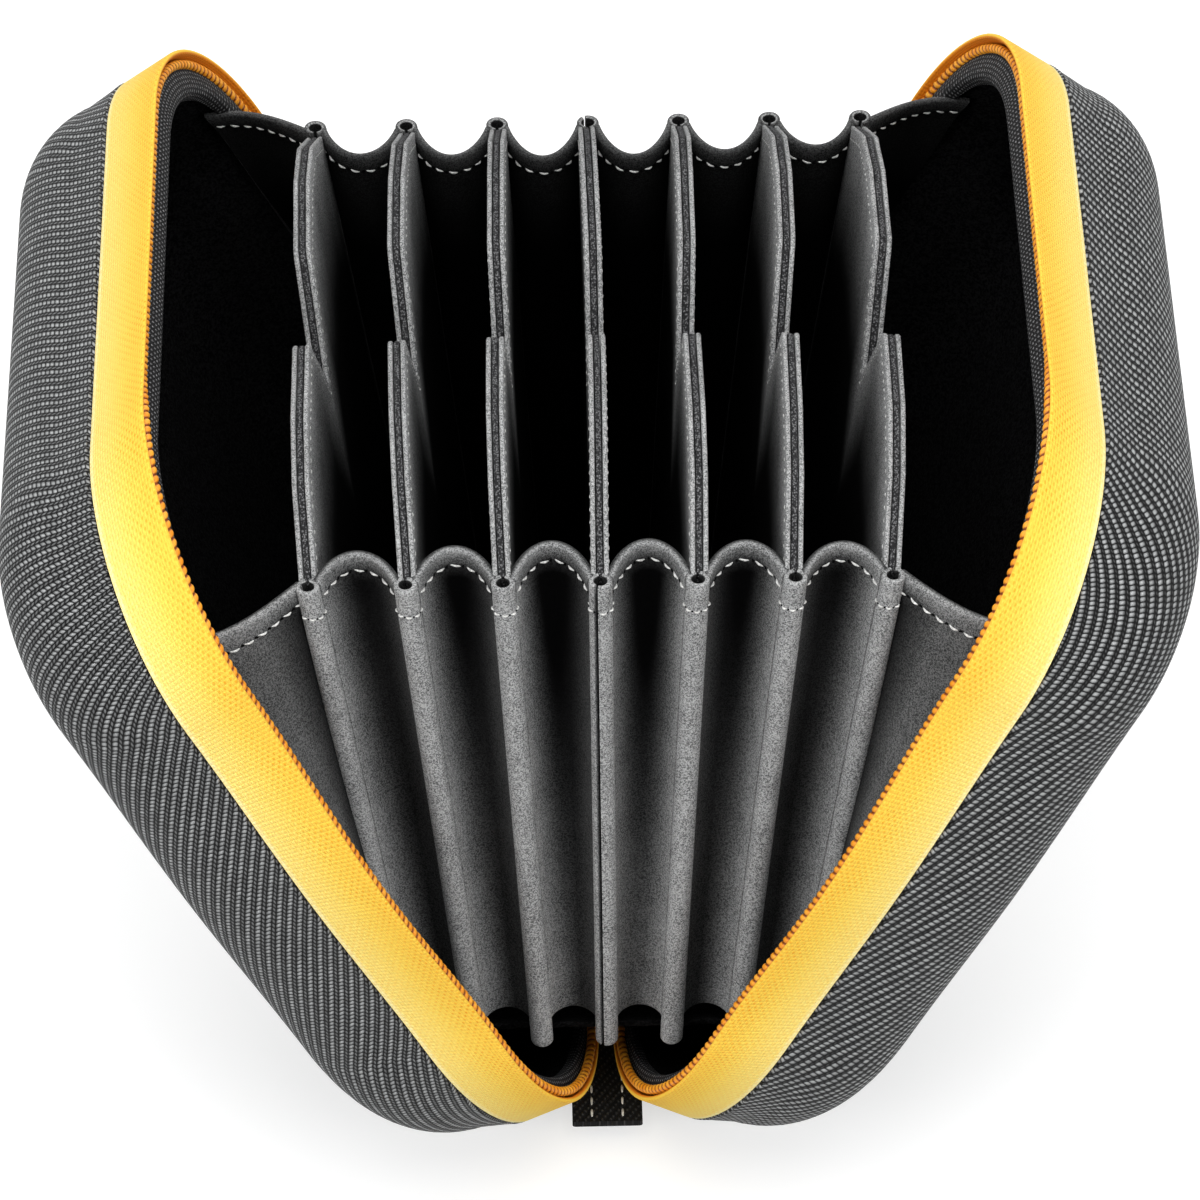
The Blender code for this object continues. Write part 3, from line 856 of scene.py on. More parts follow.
@dataclass(frozen=True)
class Stitching:
    """A row of sewn dashes with a needle hole between each two, drawn as a black disc of painted shade.
    """

    spacing: float = 0.0017
    dash_share: float = 0.68
    thread_radius: float = 0.00017
    rise: float = 0.00012
    hole_radius: float = 0.00022
    lean: float = 0.0
    least_lean: float = 0.6
    lean_turn: float = 2.4
    least_thick: float = 0.55
    end_sink: float = 0.6
    sides: int = 6
    steps: int = 6

    def sew(
        self, parts: MeshParts, line: np.ndarray, normals: np.ndarray, thread_slot: int,
        hole_slot: Optional[int],
    ) -> None:
        """Adds the dashes along a line to a piece.

        Args:
            parts: The piece that is sewn.
            line: N by 3 points on its surface.
            normals: N by 3 unit normals of that surface.
            thread_slot: Material slot of the thread.
            hole_slot: Material slot of the needle holes, or None for no holes.
        """
        lengths = lengths_along(line)
        count = max(int(lengths[-1] / self.spacing), 1)
        pitch = lengths[-1] / count
        angles = np.arange(self.sides) * 2 * math.pi / self.sides
        cos, sin = np.cos(angles)[:, None], np.sin(angles)[:, None]
        lift = np.sin(np.linspace(0, math.pi, self.steps))
        rise = self.rise * lift + self.thread_radius * (lift - self.end_sink)
        thick = self.thread_radius * (self.least_thick + (1 - self.least_thick) * lift)
        for number in range(count):
            start = (number + (1 - self.dash_share) / 2) * pitch
            places = np.linspace(start, start + pitch * self.dash_share, self.steps)
            out = unit(points_at(places, lengths, normals))
            centre = points_at(places, lengths, line) + out * rise[:, None]
            run = unit(centre[-1] - centre[0])
            side = np.cross(run, out)
            varied = self.least_lean + (1 - self.least_lean) * math.sin(number * self.lean_turn)
            lean = self.lean * varied
            centre = centre + side * np.linspace(-lean, lean, self.steps)[:, None]
            ring = side[:, None] * cos + out[:, None] * sin
            parts.add_loft(centre[:, None] + ring * thick[:, None, None], thread_slot)
            if hole_slot is None:
                continue
            # The needle hole is a near-black disc: painted shade of the hole.
            middle = points_at(number * pitch, lengths, line)
            up = points_at(number * pitch, lengths, normals)
            hole = middle + self.hole_radius * (run * cos + np.cross(run, up) * sin)
            lid = np.stack([hole - up * self.hole_radius, hole + up * self.thread_radius / 4])
            parts.add_loft(lid, hole_slot)


# The case's own shape


@dataclass(frozen=True)
class RoundedOutline:
    """A rounded outline in u and v, with side stretches that bulge."""

    width: float
    height: float
    base: float
    bottom_radius: float
    top_radius: float
    bow: float
    narrowing: float = 0.0

    def points(
        self, inset: float, least_radius: float, corner_steps: int, side_steps: int,
    ) -> np.ndarray:
        """Points from the spine's front end over the top to its back end, then along the spine.

        Args:
            inset: Distance inwards.
            least_radius: Smallest corner radius.
            corner_steps: Steps round each corner.
            side_steps: Steps along each stretch between corners.

        Returns:
            N by 2 points.
        """
        half = self.width / 2 - inset
        low, high = self.base + inset, self.base + self.height - inset
        bottom = max(self.bottom_radius - inset, least_radius)
        top = max(self.top_radius - inset, least_radius)
        corners = [
            (-half + bottom, low + bottom, bottom, 270), (-half + top, high - top, top, 180),
            (half - top, high - top, top, 90), (half - bottom, low + bottom, bottom, 0),
        ]
        arcs = []
        for u, v, radius, start in corners:
            angles = np.radians(start - 90 * np.arange(corner_steps + 1) / corner_steps)
            arc = [u + radius * np.cos(angles), v + radius * np.sin(angles)]
            arcs.append(np.stack(arc, axis=1))
        share = (np.arange(1, side_steps) / side_steps)[:, None]
        points = []
        for arc, after, swell in zip(arcs, arcs[1:] + arcs[:1], (-self.bow, 0.0, self.bow, 0.0)):
            stretch = arc[-1] * (1 - share) + after[0] * share
            stretch[:, 0] += swell * np.sin(math.pi * share[:, 0]) ** 2
            points += [arc, stretch]
        line = np.concatenate(points)
        height_share = np.clip(line[:, 1], 0, None) / self.height
        line[:, 0] *= 1 - 2 * self.narrowing / self.width * height_share
        return line


@dataclass(frozen=True)
class CaseShape:
    """Sizes and directions of the two trays."""

    opening: float = math.radians(25.8)
    hinge_offset: float = 0.001
    rim: RoundedOutline = RoundedOutline(0.1418, 0.1533, 0.0, 0.0343, 0.0352, 0.0031, 0.0027)
    body: RoundedOutline = RoundedOutline(0.140, 0.158, -0.0091, 0.048, 0.0318, 0.0013)
    tape_depth: float = 0.0111
    tray_depth: float = 0.0346
    edge_radius: float = 0.0165
    draw_in: float = 0.0015
    face_dome: float = 0.001
    dome_share: float = 0.7
    dome_inset: float = 0.027
    flat_inset: float = 0.038
    face_corner_radius: float = 0.005
    seam: float = 0.0003
    tape_thickness: float = 0.0009
    cover_thickness: float = 0.0009
    core_thickness: float = 0.0022
    lining_thickness: float = 0.0007
    corner_steps: int = 24
    side_steps: int = 20
    arc_steps: int = 16
    face_steps: int = 6

    @property
    def lift(self) -> float:
        """Height of the hinge line above the ground."""
        arc_t = self.tray_depth - self.edge_radius
        arc_v = self.draw_in + self.edge_radius + self.body.base
        return self.edge_radius + arc_t * math.sin(self.opening) - arc_v * math.cos(self.opening)

    @property
    def around(self) -> int:
        """Number of outline points from the spine's front end over the top to its back end."""
        return 4 * (self.corner_steps + 1) + 3 * (self.side_steps - 1)

    def in_tray(self, side: Side, u: np.ndarray, v: np.ndarray, t: np.ndarray) -> np.ndarray:
        """World points of tray coordinates.

        Args:
            side: The tray.
            u: Places along the spine.
            v: Places up the zipper's plane.
            t: Depths into the tray.

        Returns:
            The points, with x, y and z last.
        """
        u, v, t = np.broadcast_arrays(*(np.asarray(places, float) for places in (u, v, t)))
        x = self.hinge_offset + v * math.sin(self.opening) + t * math.cos(self.opening)
        z = self.lift + v * math.cos(self.opening) - t * math.sin(self.opening)
        return np.stack([side.value * x, u, z], axis=-1)

    def ring_shape(self, inset: float, t: float) -> np.ndarray:
        """Outline at a depth: the rim's at 0, the tray's from the tape's seam on.

        Args:
            inset: Distance inwards.
            t: Depth into the tray.

        Returns:
            N by 2 points.
        """
        steps = (self.face_corner_radius, self.corner_steps, self.side_steps)
        share = min(max(t / self.tape_depth, 0), 1)
        rim, body = self.rim.points(inset, *steps), self.body.points(inset, *steps)
        return rim * (1 - share) + body * share

    def ring(self, side: Side, inset: float, t: float) -> np.ndarray:
        """World points of one ring of a tray."""
        line = self.ring_shape(inset, t)
        return self.in_tray(side, line[:, 0], line[:, 1], t)

    def varied_ring(self, side: Side, insets: np.ndarray, t: float) -> np.ndarray:
        """World points of a ring whose inset changes from point to point.

        Args:
            side: The tray.
            insets: Distance inwards at each point.
            t: Depth into the tray.

        Returns:
            N by 3 points.
        """
        low, spread = float(insets.min()), max(float(np.ptp(insets)), self.seam)
        near, far = self.ring(side, low, t), self.ring(side, low + spread, t)
        share = ((insets - low) / spread)[:, None]
        return near * (1 - share) + far * share

    def profile(self, wall: float, start: float) -> np.ndarray:
        """Inset and depth of points down one skin of a tray, wall deep.

        Args:
            wall: How far inside the outer skin it lies.
            start: Depth of its front edge.

        Returns:
            N by 2 points, from the front edge to the face.
        """
        arc_t = self.tray_depth - self.edge_radius
        radius = self.edge_radius - wall
        points = [(wall, start)]
        if start < self.tape_depth:
            points.append((wall, self.tape_depth))
        inset, depth = points[-1]
        reach = self.draw_in + self.edge_radius
        for share in (0.33, 0.66):
            points.append((inset + (reach - radius - inset) * share, depth + (arc_t - depth) * share))
        for angle in np.linspace(0, math.pi / 2, self.arc_steps + 1):
            points.append((reach - radius * math.cos(angle), arc_t + radius * math.sin(angle)))
        places = np.linspace(reach, self.flat_inset, self.face_steps + 1)[1:]
        rises = np.interp(places, (reach, self.dome_inset, self.flat_inset), (0, self.dome_share, 1))
        domes = self.face_dome * np.sin(rises * math.pi / 2)
        points += zip(places, self.tray_depth - wall + domes)
        return np.array(points)


SHAPE = CaseShape()


@dataclass(frozen=True)
class Tray:
    """One padded tray with its cloth, foam, lining, tape, coil and bound edge."""

    side: Side
    rib_angle: float
    nylon: Finish
    shape: CaseShape = SHAPE
    smoothing: int = 30
    coil_pitch: float = 0.00145
    coil_radius: float = 0.0008
    coil_groove: float = 0.55
    coil_sides: int = 10
    turn_steps: int = 10
    coil_depth: float = 0.0007
    coil_sink: float = 0.0009
    coil_sink_start: float = -0.040
    coil_sink_length: float = 0.014
    binding_start: float = 0.0019
    binding_depth: float = 0.0018
    binding_rise: float = 0.0008
    binding_width: float = 0.0037
    binding_top_extra: float = 0.0038
    binding_gap: float = 0.02
    binding_tuck: float = 0.12
    binding_fullness: float = 0.4
    binding_outer_height: float = 0.7
    binding_steps: int = 15
    edge_roll: float = 0.0006
    centre_shares: tuple = (0.7, 0.4, 0.12)
    tape_steps: int = 13
    fold_steps: int = 7
    panel_steps: int = 9

    @property
    def body(self) -> str:
        """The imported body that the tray's pieces ride on."""
        return f"{self.side.word}_shell"

    def keep(self, piece: bpy.types.Object, node: str, slot: str) -> bpy.types.Object:
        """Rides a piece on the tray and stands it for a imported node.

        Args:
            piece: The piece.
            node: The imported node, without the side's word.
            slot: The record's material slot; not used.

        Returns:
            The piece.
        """
        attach(piece, self.body)
        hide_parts(f"{self.side.word}_{node}")
        LOG.info("%s rides on %s", piece.name, self.body)
        return piece

    def unfolded(self, insets: np.ndarray, depths: np.ndarray) -> np.ndarray:
        """Cloth coordinates of rings, as if the moulded sheet were pressed flat.

        Args:
            insets: Inset of each ring.
            depths: Depth of each ring.

        Returns:
            Rings by points by 3, in metres: across the ribs, along them, and 0.
        """
        shape = self.shape
        reach = shape.draw_in + shape.edge_radius
        base = shape.ring_shape(reach, shape.tray_depth)
        run = np.roll(base, -1, axis=0) - np.roll(base, 1, axis=0)
        out = unit(np.stack([-run[:, 1], run[:, 0]], axis=1))
        for _ in range(self.smoothing):
            out = unit((np.roll(out, 1, axis=0) + 2 * out + np.roll(out, -1, axis=0)) / 4)
        lengths = lengths_along(np.stack([insets, depths], axis=1))
        face = int(np.argmin(np.abs(insets - reach)))
        rings = []
        for index, inset in enumerate(insets):
            if index <= face:
                flat = base + out * (lengths[face] - lengths[index])
            else:
                flat = shape.ring_shape(inset, shape.tray_depth)
            rings.append(flat)
        place = np.stack(rings) * np.array([self.side.value, 1.0])
        ribs = np.array([math.sin(self.rib_angle), math.cos(self.rib_angle)])
        cross = np.array([ribs[1], -ribs[0]])
        flat = [place @ cross * -self.side.value, place @ ribs, np.zeros(place.shape[:2])]
        return np.stack(flat, axis=-1)

    def skins(self, outer: float, inner: float, start: float) -> tuple[np.ndarray, np.ndarray]:
        """Loops of a moulded layer, from its face outside to its face inside.

        Args:
            outer: Depth of its outer skin in the wall.
            inner: Depth of its inner skin in the wall.
            start: Depth of its front edge.

        Returns:
            The loops and their cloth coordinates.
        """
        loops, cloth = [], []
        for wall, order in ((outer, -1), (inner, 1)):
            line = self.shape.profile(wall, start)
            roll = min(self.edge_roll, (inner - outer) / 2)
            line[0] += (roll * (1 if wall == outer else -1), 0)
            line = np.insert(line, 1, (wall, start + roll), axis=0)
            rings = np.stack([self.shape.ring(self.side, inset, t) for inset, t in line])
            flat = self.unfolded(line[:, 0], line[:, 1])
            rings, flat = (
                np.concatenate([sheet, self.closing(sheet[-1])]) for sheet in (rings, flat)
            )
            loops.append(rings[::order])
            cloth.append(flat[::order])
        return np.concatenate(loops), np.concatenate(cloth)

    def closing(self, edge: np.ndarray) -> np.ndarray:
        """Rings that close a face, from its last ring towards its middle."""
        middle = edge.mean(axis=0)
        return np.stack([middle + (edge - middle) * share for share in self.centre_shares])

    def layer(
        self, node: str, outer: float, inner: float, start: float, finish: Finish, slot: str,
    ) -> bpy.types.Object:
        """Builds one moulded layer of the tray.

        Args:
            node: Its node's name without the side's word.
            outer: Depth of its outer skin in the wall.
            inner: Depth of its inner skin in the wall.
            start: Depth of its front edge.
            finish: Its finish.
            slot: The record's material slot.

        Returns:
            The piece.
        """
        parts = MeshParts()
        loops, cloth = self.skins(outer, inner, start)
        parts.add_loft(loops, fabric=cloth)
        return self.keep(parts.build(f"{self.side.word}_{node}_cloth", [finish]), node, slot)

    def band(self, sections: Sequence[tuple[np.ndarray, float]], last: int) -> np.ndarray:
        """Loops across a band that follows the outline.

        Args:
            sections: Insets and depth of each point of the band's section.
            last: Last outline point that the band reaches.

        Returns:
            Outline points by section points by 3.
        """
        rows = [self.shape.varied_ring(self.side, insets, t)[: last + 1] for insets, t in sections]
        return np.stack(rows, axis=1)

    def build_band(
        self, name: str, node: str, slot: str, finish: Finish, loops: np.ndarray,
        across_cloth: np.ndarray, **values: np.ndarray,
    ) -> bpy.types.Object:
        """Builds a band whose cloth runs along it.

        Args:
            name: The piece's name without the side's word.
            node: Its node's name without the side's word.
            slot: The record's material slot.
            finish: Its finish.
            loops: Loops across the band.
            across_cloth: Cloth coordinate across the band.
            **values: Its other surface values.

        Returns:
            The piece.
        """
        cloth = np.zeros(loops.shape)
        cloth[..., 0] = across_cloth
        cloth[..., 1] = lengths_along(loops[:, 0])[:, None]
        parts = MeshParts()
        parts.add_loft(loops, fabric=cloth, **values)
        return self.keep(parts.build(f"{self.side.word}_{name}", [finish]), node, slot)

    def build_tape(self) -> bpy.types.Object:
        """Zipper tape with a folded front edge.

        Returns:
            The piece.
        """
        shape = self.shape
        count = len(shape.ring_shape(0, 0))
        thick = shape.tape_thickness
        fold = thick / 2
        section = [(0.0, t) for t in np.linspace(shape.tape_depth, fold, self.tape_steps)]
        for angle in np.linspace(0, math.pi, self.fold_steps)[1:-1]:
            section.append((fold - fold * math.cos(angle), fold - fold * math.sin(angle)))
        section += [(thick, t) for t in np.linspace(fold, shape.tape_depth, self.tape_steps)]
        loops = self.band([(np.full(count, inset), t) for inset, t in section], shape.around - 1)
        depth = np.array([t for _, t in section])
        across = np.tile(np.clip(depth / shape.tape_depth, 0, 1), (len(loops), 1))
        # Painted shade on the tape's inner face: shade is 1 outside and 0 inside.
        outside = np.tile([float(inset <= fold) for inset, _ in section], (len(loops), 1))
        return self.build_band(
            "tape_cloth", "zipper_tape", "tape", FINISHES.tape, loops, depth,
            across=across, shade=outside,
        )

    def build_coil(self) -> bpy.types.Object:
        """Zipper coil as a thick wound wire with a groove between its turns.

        Returns:
            The piece.
        """
        shape = self.shape
        inset = shape.tape_thickness + shape.seam + self.coil_radius
        shallow = shape.ring(self.side, inset, self.coil_depth)[: shape.around]
        sunken = shape.ring(self.side, inset, self.coil_depth + self.coil_sink)[: shape.around]
        sink = np.clip((shallow[:, 1:2] - self.coil_sink_start) / self.coil_sink_length, 0, 1)
        line = shallow + (sunken - shallow) * sink ** 2 * (3 - 2 * sink)
        line = resample(line, self.coil_pitch / self.turn_steps)
        run = unit(np.gradient(line, axis=0))
        deeper = shape.in_tray(self.side, 0, 0, 1) - shape.in_tray(self.side, 0, 0, 0)
        across = unit(np.cross(run, deeper))
        angles = 2 * math.pi * np.arange(self.coil_sides) / self.coil_sides
        turn = np.arange(len(line))[:, None] / self.turn_steps + angles[None] / (2 * math.pi)
        swell = np.abs(np.sin(math.pi * turn)) ** 0.5
        radius = self.coil_radius * (1 - self.coil_groove * (1 - swell))
        ring = across[:, None] * np.cos(angles)[:, None] + deeper * np.sin(angles)[:, None]
        parts = MeshParts()
        # Painted shade: swell, stored as shade, darkens the groove between turns.
        parts.add_loft(line[:, None] + ring * radius[..., None], shade=swell)
        piece = parts.build(f"{self.side.word}_wound_coil", [FINISHES.coil])
        return self.keep(piece, "zipper_coil", "coil")

    def build_binding(self) -> bpy.types.Object:
        """Ribbed binding rolled over the padding's front edge, wider along the top.

        Returns:
            The piece.
        """
        shape = self.shape
        out = shape.tape_thickness + shape.seam
        end = self.binding_start + self.binding_depth
        crest = self.binding_start - self.binding_rise
        top = shape.rim.height - shape.rim.top_radius
        heights = shape.ring_shape(out + self.binding_width, self.binding_start)[:, 1]
        share = np.clip((heights - top) / shape.rim.top_radius, 0, 1)
        width = self.binding_width + self.binding_top_extra * share
        section = [(out + width * self.binding_gap, end)]
        for angle in np.linspace(self.binding_tuck, math.pi, self.binding_steps):
            turn = (1 - math.cos(angle)) / 2
            level = self.binding_outer_height + (1 - self.binding_outer_height) * turn
            rise = (end - crest) * math.sin(angle) ** self.binding_fullness * level
            section.append((out + width * turn, end - rise))
        loops = self.band(section, shape.around - 1)
        steps = np.linalg.norm(np.diff(loops, axis=1), axis=2)
        across_cloth = np.pad(np.cumsum(steps, axis=1), ((0, 0), (1, 0)))
        return self.build_band(
            "ribbed_binding", "binding", "webbing", FINISHES.binding, loops, across_cloth,
        )

    def build_hinge_panel(self) -> bpy.types.Object:
        """Woven panel that closes the rim along the spine.

        Returns:
            The piece.
        """
        shape = self.shape
        thick = shape.tape_thickness
        section = [(0.0, t) for t in np.linspace(0, shape.tape_depth, self.panel_steps)]
        section += [(thick, t) for t in np.linspace(shape.tape_depth, 0, self.panel_steps)]
        rows = []
        for inset, t in section:
            line = shape.ring_shape(inset, t)
            run = np.concatenate([line[shape.around - 1:], line[:1]])
            reach = abs(run[0][0])
            run[:, 0] *= (reach - shape.seam) / reach
            rows.append(shape.in_tray(self.side, run[:, 0], run[:, 1], t))
        depth = np.array([t for _, t in section])
        return self.build_band(
            "hinge_cloth", "hinge_panel", "webbing", FINISHES.webbing, np.stack(rows, axis=1), depth,
        )

    def build(self) -> None:
        """Builds every piece of the tray."""
        shape = self.shape
        core_out = shape.cover_thickness + shape.seam
        core_in = core_out + shape.core_thickness
        lining_out = core_in + shape.seam
        lining_in = lining_out + shape.lining_thickness
        pad_start = self.binding_start + self.binding_depth + shape.seam
        self.layer("cover", 0, shape.cover_thickness, shape.tape_depth + shape.seam, self.nylon, "nylon")
        core = self.layer("core", core_out, core_in, pad_start, FINISHES.foam, "foam")
        self.layer("lining", lining_out, lining_in, pad_start, FINISHES.fleece, "lining")
        self.build_tape()
        self.build_coil()
        self.build_binding()
        self.build_hinge_panel()


# The insert


@dataclass(frozen=True)
class InsertShape:
    """Sizes of the insert: dividers that fan from the spine over a folded floor."""

    shape: CaseShape = SHAPE
    each_side: int = 3
    pitch: float = 0.0098
    fan_step: float = math.radians(2.5)
    fan_share: float = 0.1287
    width: float = 0.106
    shoulder_height: float = 0.1089
    ear_height: float = 0.1204
    ear_slope_length: float = 0.013
    ear_bevel_drop: float = 0.003
    ear_bevel_length: float = 0.012
    notch_width: float = 0.022
    notch_depth: float = 0.0184
    core_thickness: float = 0.0006
    face_thickness: float = 0.00075
    floor_flat: float = 0.068
    lip_length: float = 0.017
    lip_rise: float = 0.011
    lip_draw_in: float = 0.003
    floor_inset: float = 0.0006
    floor_thickness: float = 0.0012
    floor_height: float = 0.0056

    @property
    def stretch(self) -> float:
        """How much farther apart, upright, lines on the floor's lips are."""
        return math.hypot(self.lip_length, self.lip_rise) / self.lip_length

    @property
    def foot(self) -> float:
        """Height of a divider's lower edge above the ground."""
        above_floor = (self.floor_thickness / 2 + self.shape.seam) * self.stretch
        return self.shape.lift + self.floor_height + above_floor

    def top(self, y: np.ndarray) -> np.ndarray:
        """Height of a divider's upper edge above its foot, at places along Y."""
        half = self.width / 2
        ear_out = half - self.ear_slope_length
        ear_in = ear_out - self.ear_bevel_length
        places = [0, self.notch_width / 2, ear_in, ear_out, half]
        heights = [
            self.ear_height - self.notch_depth, self.ear_height, self.ear_height,
            self.ear_height - self.ear_bevel_drop, self.shoulder_height,
        ]
        return np.interp(np.abs(y), places, heights)

    def bottom(self, y: np.ndarray) -> np.ndarray:
        """Height of a divider's lower edge above its foot, at places along Y."""
        return np.clip(np.abs(y) - self.floor_flat / 2, 0, None) * self.lip_rise / self.lip_length

    def divider_x(self, step: int, height: np.ndarray) -> np.ndarray:
        """x of a divider's middle plane at heights above its foot. Steps are negative on the left."""
        return step * self.pitch + np.asarray(height) * math.tan(step * self.fan_step)

    def body(self, step: int) -> str:
        """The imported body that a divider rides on."""
        return "spine" if step == 0 else f"divider_{step + self.each_side + 1}"


INSERT = InsertShape()


@dataclass(frozen=True)
class Divider:
    """A stiff core between two sewn felt faces."""

    step: int
    insert: InsertShape = INSERT
    columns: int = 90
    rows: int = 40
    stitch_drop: float = 0.0023
    bow: float = 0.0003
    core_swell: float = 0.00032
    # Painted light: lit_depth to falloff make the felt pale along its top and ends, fading to painted
    # shade lower down.
    lit_depth: float = 0.027
    lit_edge: float = 0.003
    edge_light: float = 0.8
    falloff: float = 1.6
    wave_phase: float = 2.1
    waves: float = 45
    core_draw_in: float = 0.0001
    line_points: int = 160
    stitching: Stitching = Stitching(
        spacing=0.002, dash_share=0.4, thread_radius=0.00009, rise=-0.00001, hole_radius=0.0001,
    )

    @property
    def number(self) -> int:
        """The divider's number, from 1 on the left."""
        return self.step + self.insert.each_side + 1

    @property
    def axes(self) -> tuple[np.ndarray, np.ndarray]:
        """Unit normal of the divider's plane, and the way up in it."""
        tilt = self.step * self.insert.fan_step
        sin, cos = math.sin(tilt), math.cos(tilt)
        return np.array([cos, 0, -sin]), np.array([sin, 0, cos])

    def sway(self, y: np.ndarray, heights: np.ndarray) -> np.ndarray:
        """How far the divider waves out of its plane at places along Y and heights."""
        growth = np.clip(heights / self.insert.ear_height, 0, 1) ** 2
        return self.bow * np.sin(self.number * self.wave_phase + y * self.waves) * growth

    def sheet(
        self, start: float, thickness: float, drop: float,
    ) -> tuple[np.ndarray, np.ndarray, np.ndarray, np.ndarray]:
        """Middle surface, normals, half thickness and painted light of one layer.

        Args:
            start: Place of the layer's left side across the divider.
            thickness: The layer's thickness.
            drop: How far its edges are drawn in.

        Returns:
            The surface as columns of points, its normals, half thicknesses and painted light and shade.
        """
        insert = self.insert
        normal, up = self.axes
        half = thickness / 2
        width = insert.width - 2 * drop
        across = edge_spacing(self.columns, half, width) - width / 2
        round_across = edge_round(across + width / 2, half, width)
        middle, thick, shades = [], [], []
        for y, share in zip(across, round_across):
            low, high = float(insert.bottom(y)), float(insert.top(y)) - drop
            heights = low + edge_spacing(self.rows, half, high - low)
            point = np.array([self.step * insert.pitch, y, insert.foot]) + normal * (start + half)
            middle.append(point + heights[:, None] * up + self.sway(y, heights)[:, None] * normal)
            thick.append(half * np.minimum(share, edge_round(heights - low, half, high - low)))
            # Painted light and shade: pale near the upper edge and the ends, darker further down.
            depth = np.clip((high - heights) / self.lit_depth, 0, 1)
            edge = np.clip((width / 2 - abs(y)) / self.lit_edge, 0, 1)
            shades.append(np.maximum((1 - depth) ** self.falloff, self.edge_light * (1 - edge)))
        middle, thick = np.stack(middle), np.stack(thick)
        return middle, np.broadcast_to(normal, middle.shape), thick, np.stack(shades)

    def stitch_line(self, out: float, way: float) -> tuple[np.ndarray, np.ndarray]:
        """Line of stitches below a face's upper edge.

        Args:
            out: Distance of the face's outer side from the divider's middle.
            way: -1 on the left face and 1 on the right one.

        Returns:
            Points and normals.
        """
        insert = self.insert
        normal, up = self.axes
        reach = insert.width / 2 - self.stitch_drop
        y = np.linspace(-reach, reach, self.line_points)
        heights = insert.top(y) - self.stitch_drop
        base = np.array([self.step * insert.pitch, 0, insert.foot])
        line = base + heights[:, None] * up + (self.sway(y, heights) + way * out)[:, None] * normal
        line[:, 1] = y
        return line, np.tile(normal * way, (len(y), 1))

    def build(self) -> None:
        """Builds the core and both faces."""
        insert = self.insert
        face, seam, swell = insert.face_thickness, insert.shape.seam, self.core_swell
        core = insert.core_thickness
        body = insert.body(self.step)
        layers = [
            ("core", -core / 2 - swell / 2, core + swell, self.core_draw_in, 0),
            ("left_face", -core / 2 - seam - face, face, 0.0, -1),
            ("right_face", core / 2 + seam, face, 0.0, 1),
        ]
        for word, start, thickness, drop, way in layers:
            parts = MeshParts()
            middle, normal, half, shade = self.sheet(start, thickness, drop)
            parts.add_loft(sheet_loops(middle, normal, half), shade=both_sides(shade, shade))
            if way:
                line, normals = self.stitch_line(core / 2 + seam + face, way)
                self.stitching.sew(parts, line, normals, 1, None)
                finishes = [FINISHES.felt, FINISHES.thread]
            else:
                finishes = [FINISHES.board]
            name = f"divider_{self.number}_{word}"
            piece = parts.build(f"{name}_sheet", finishes)
            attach(piece, body)
            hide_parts(name)
            LOG.info("%s rides on %s", piece.name, body)


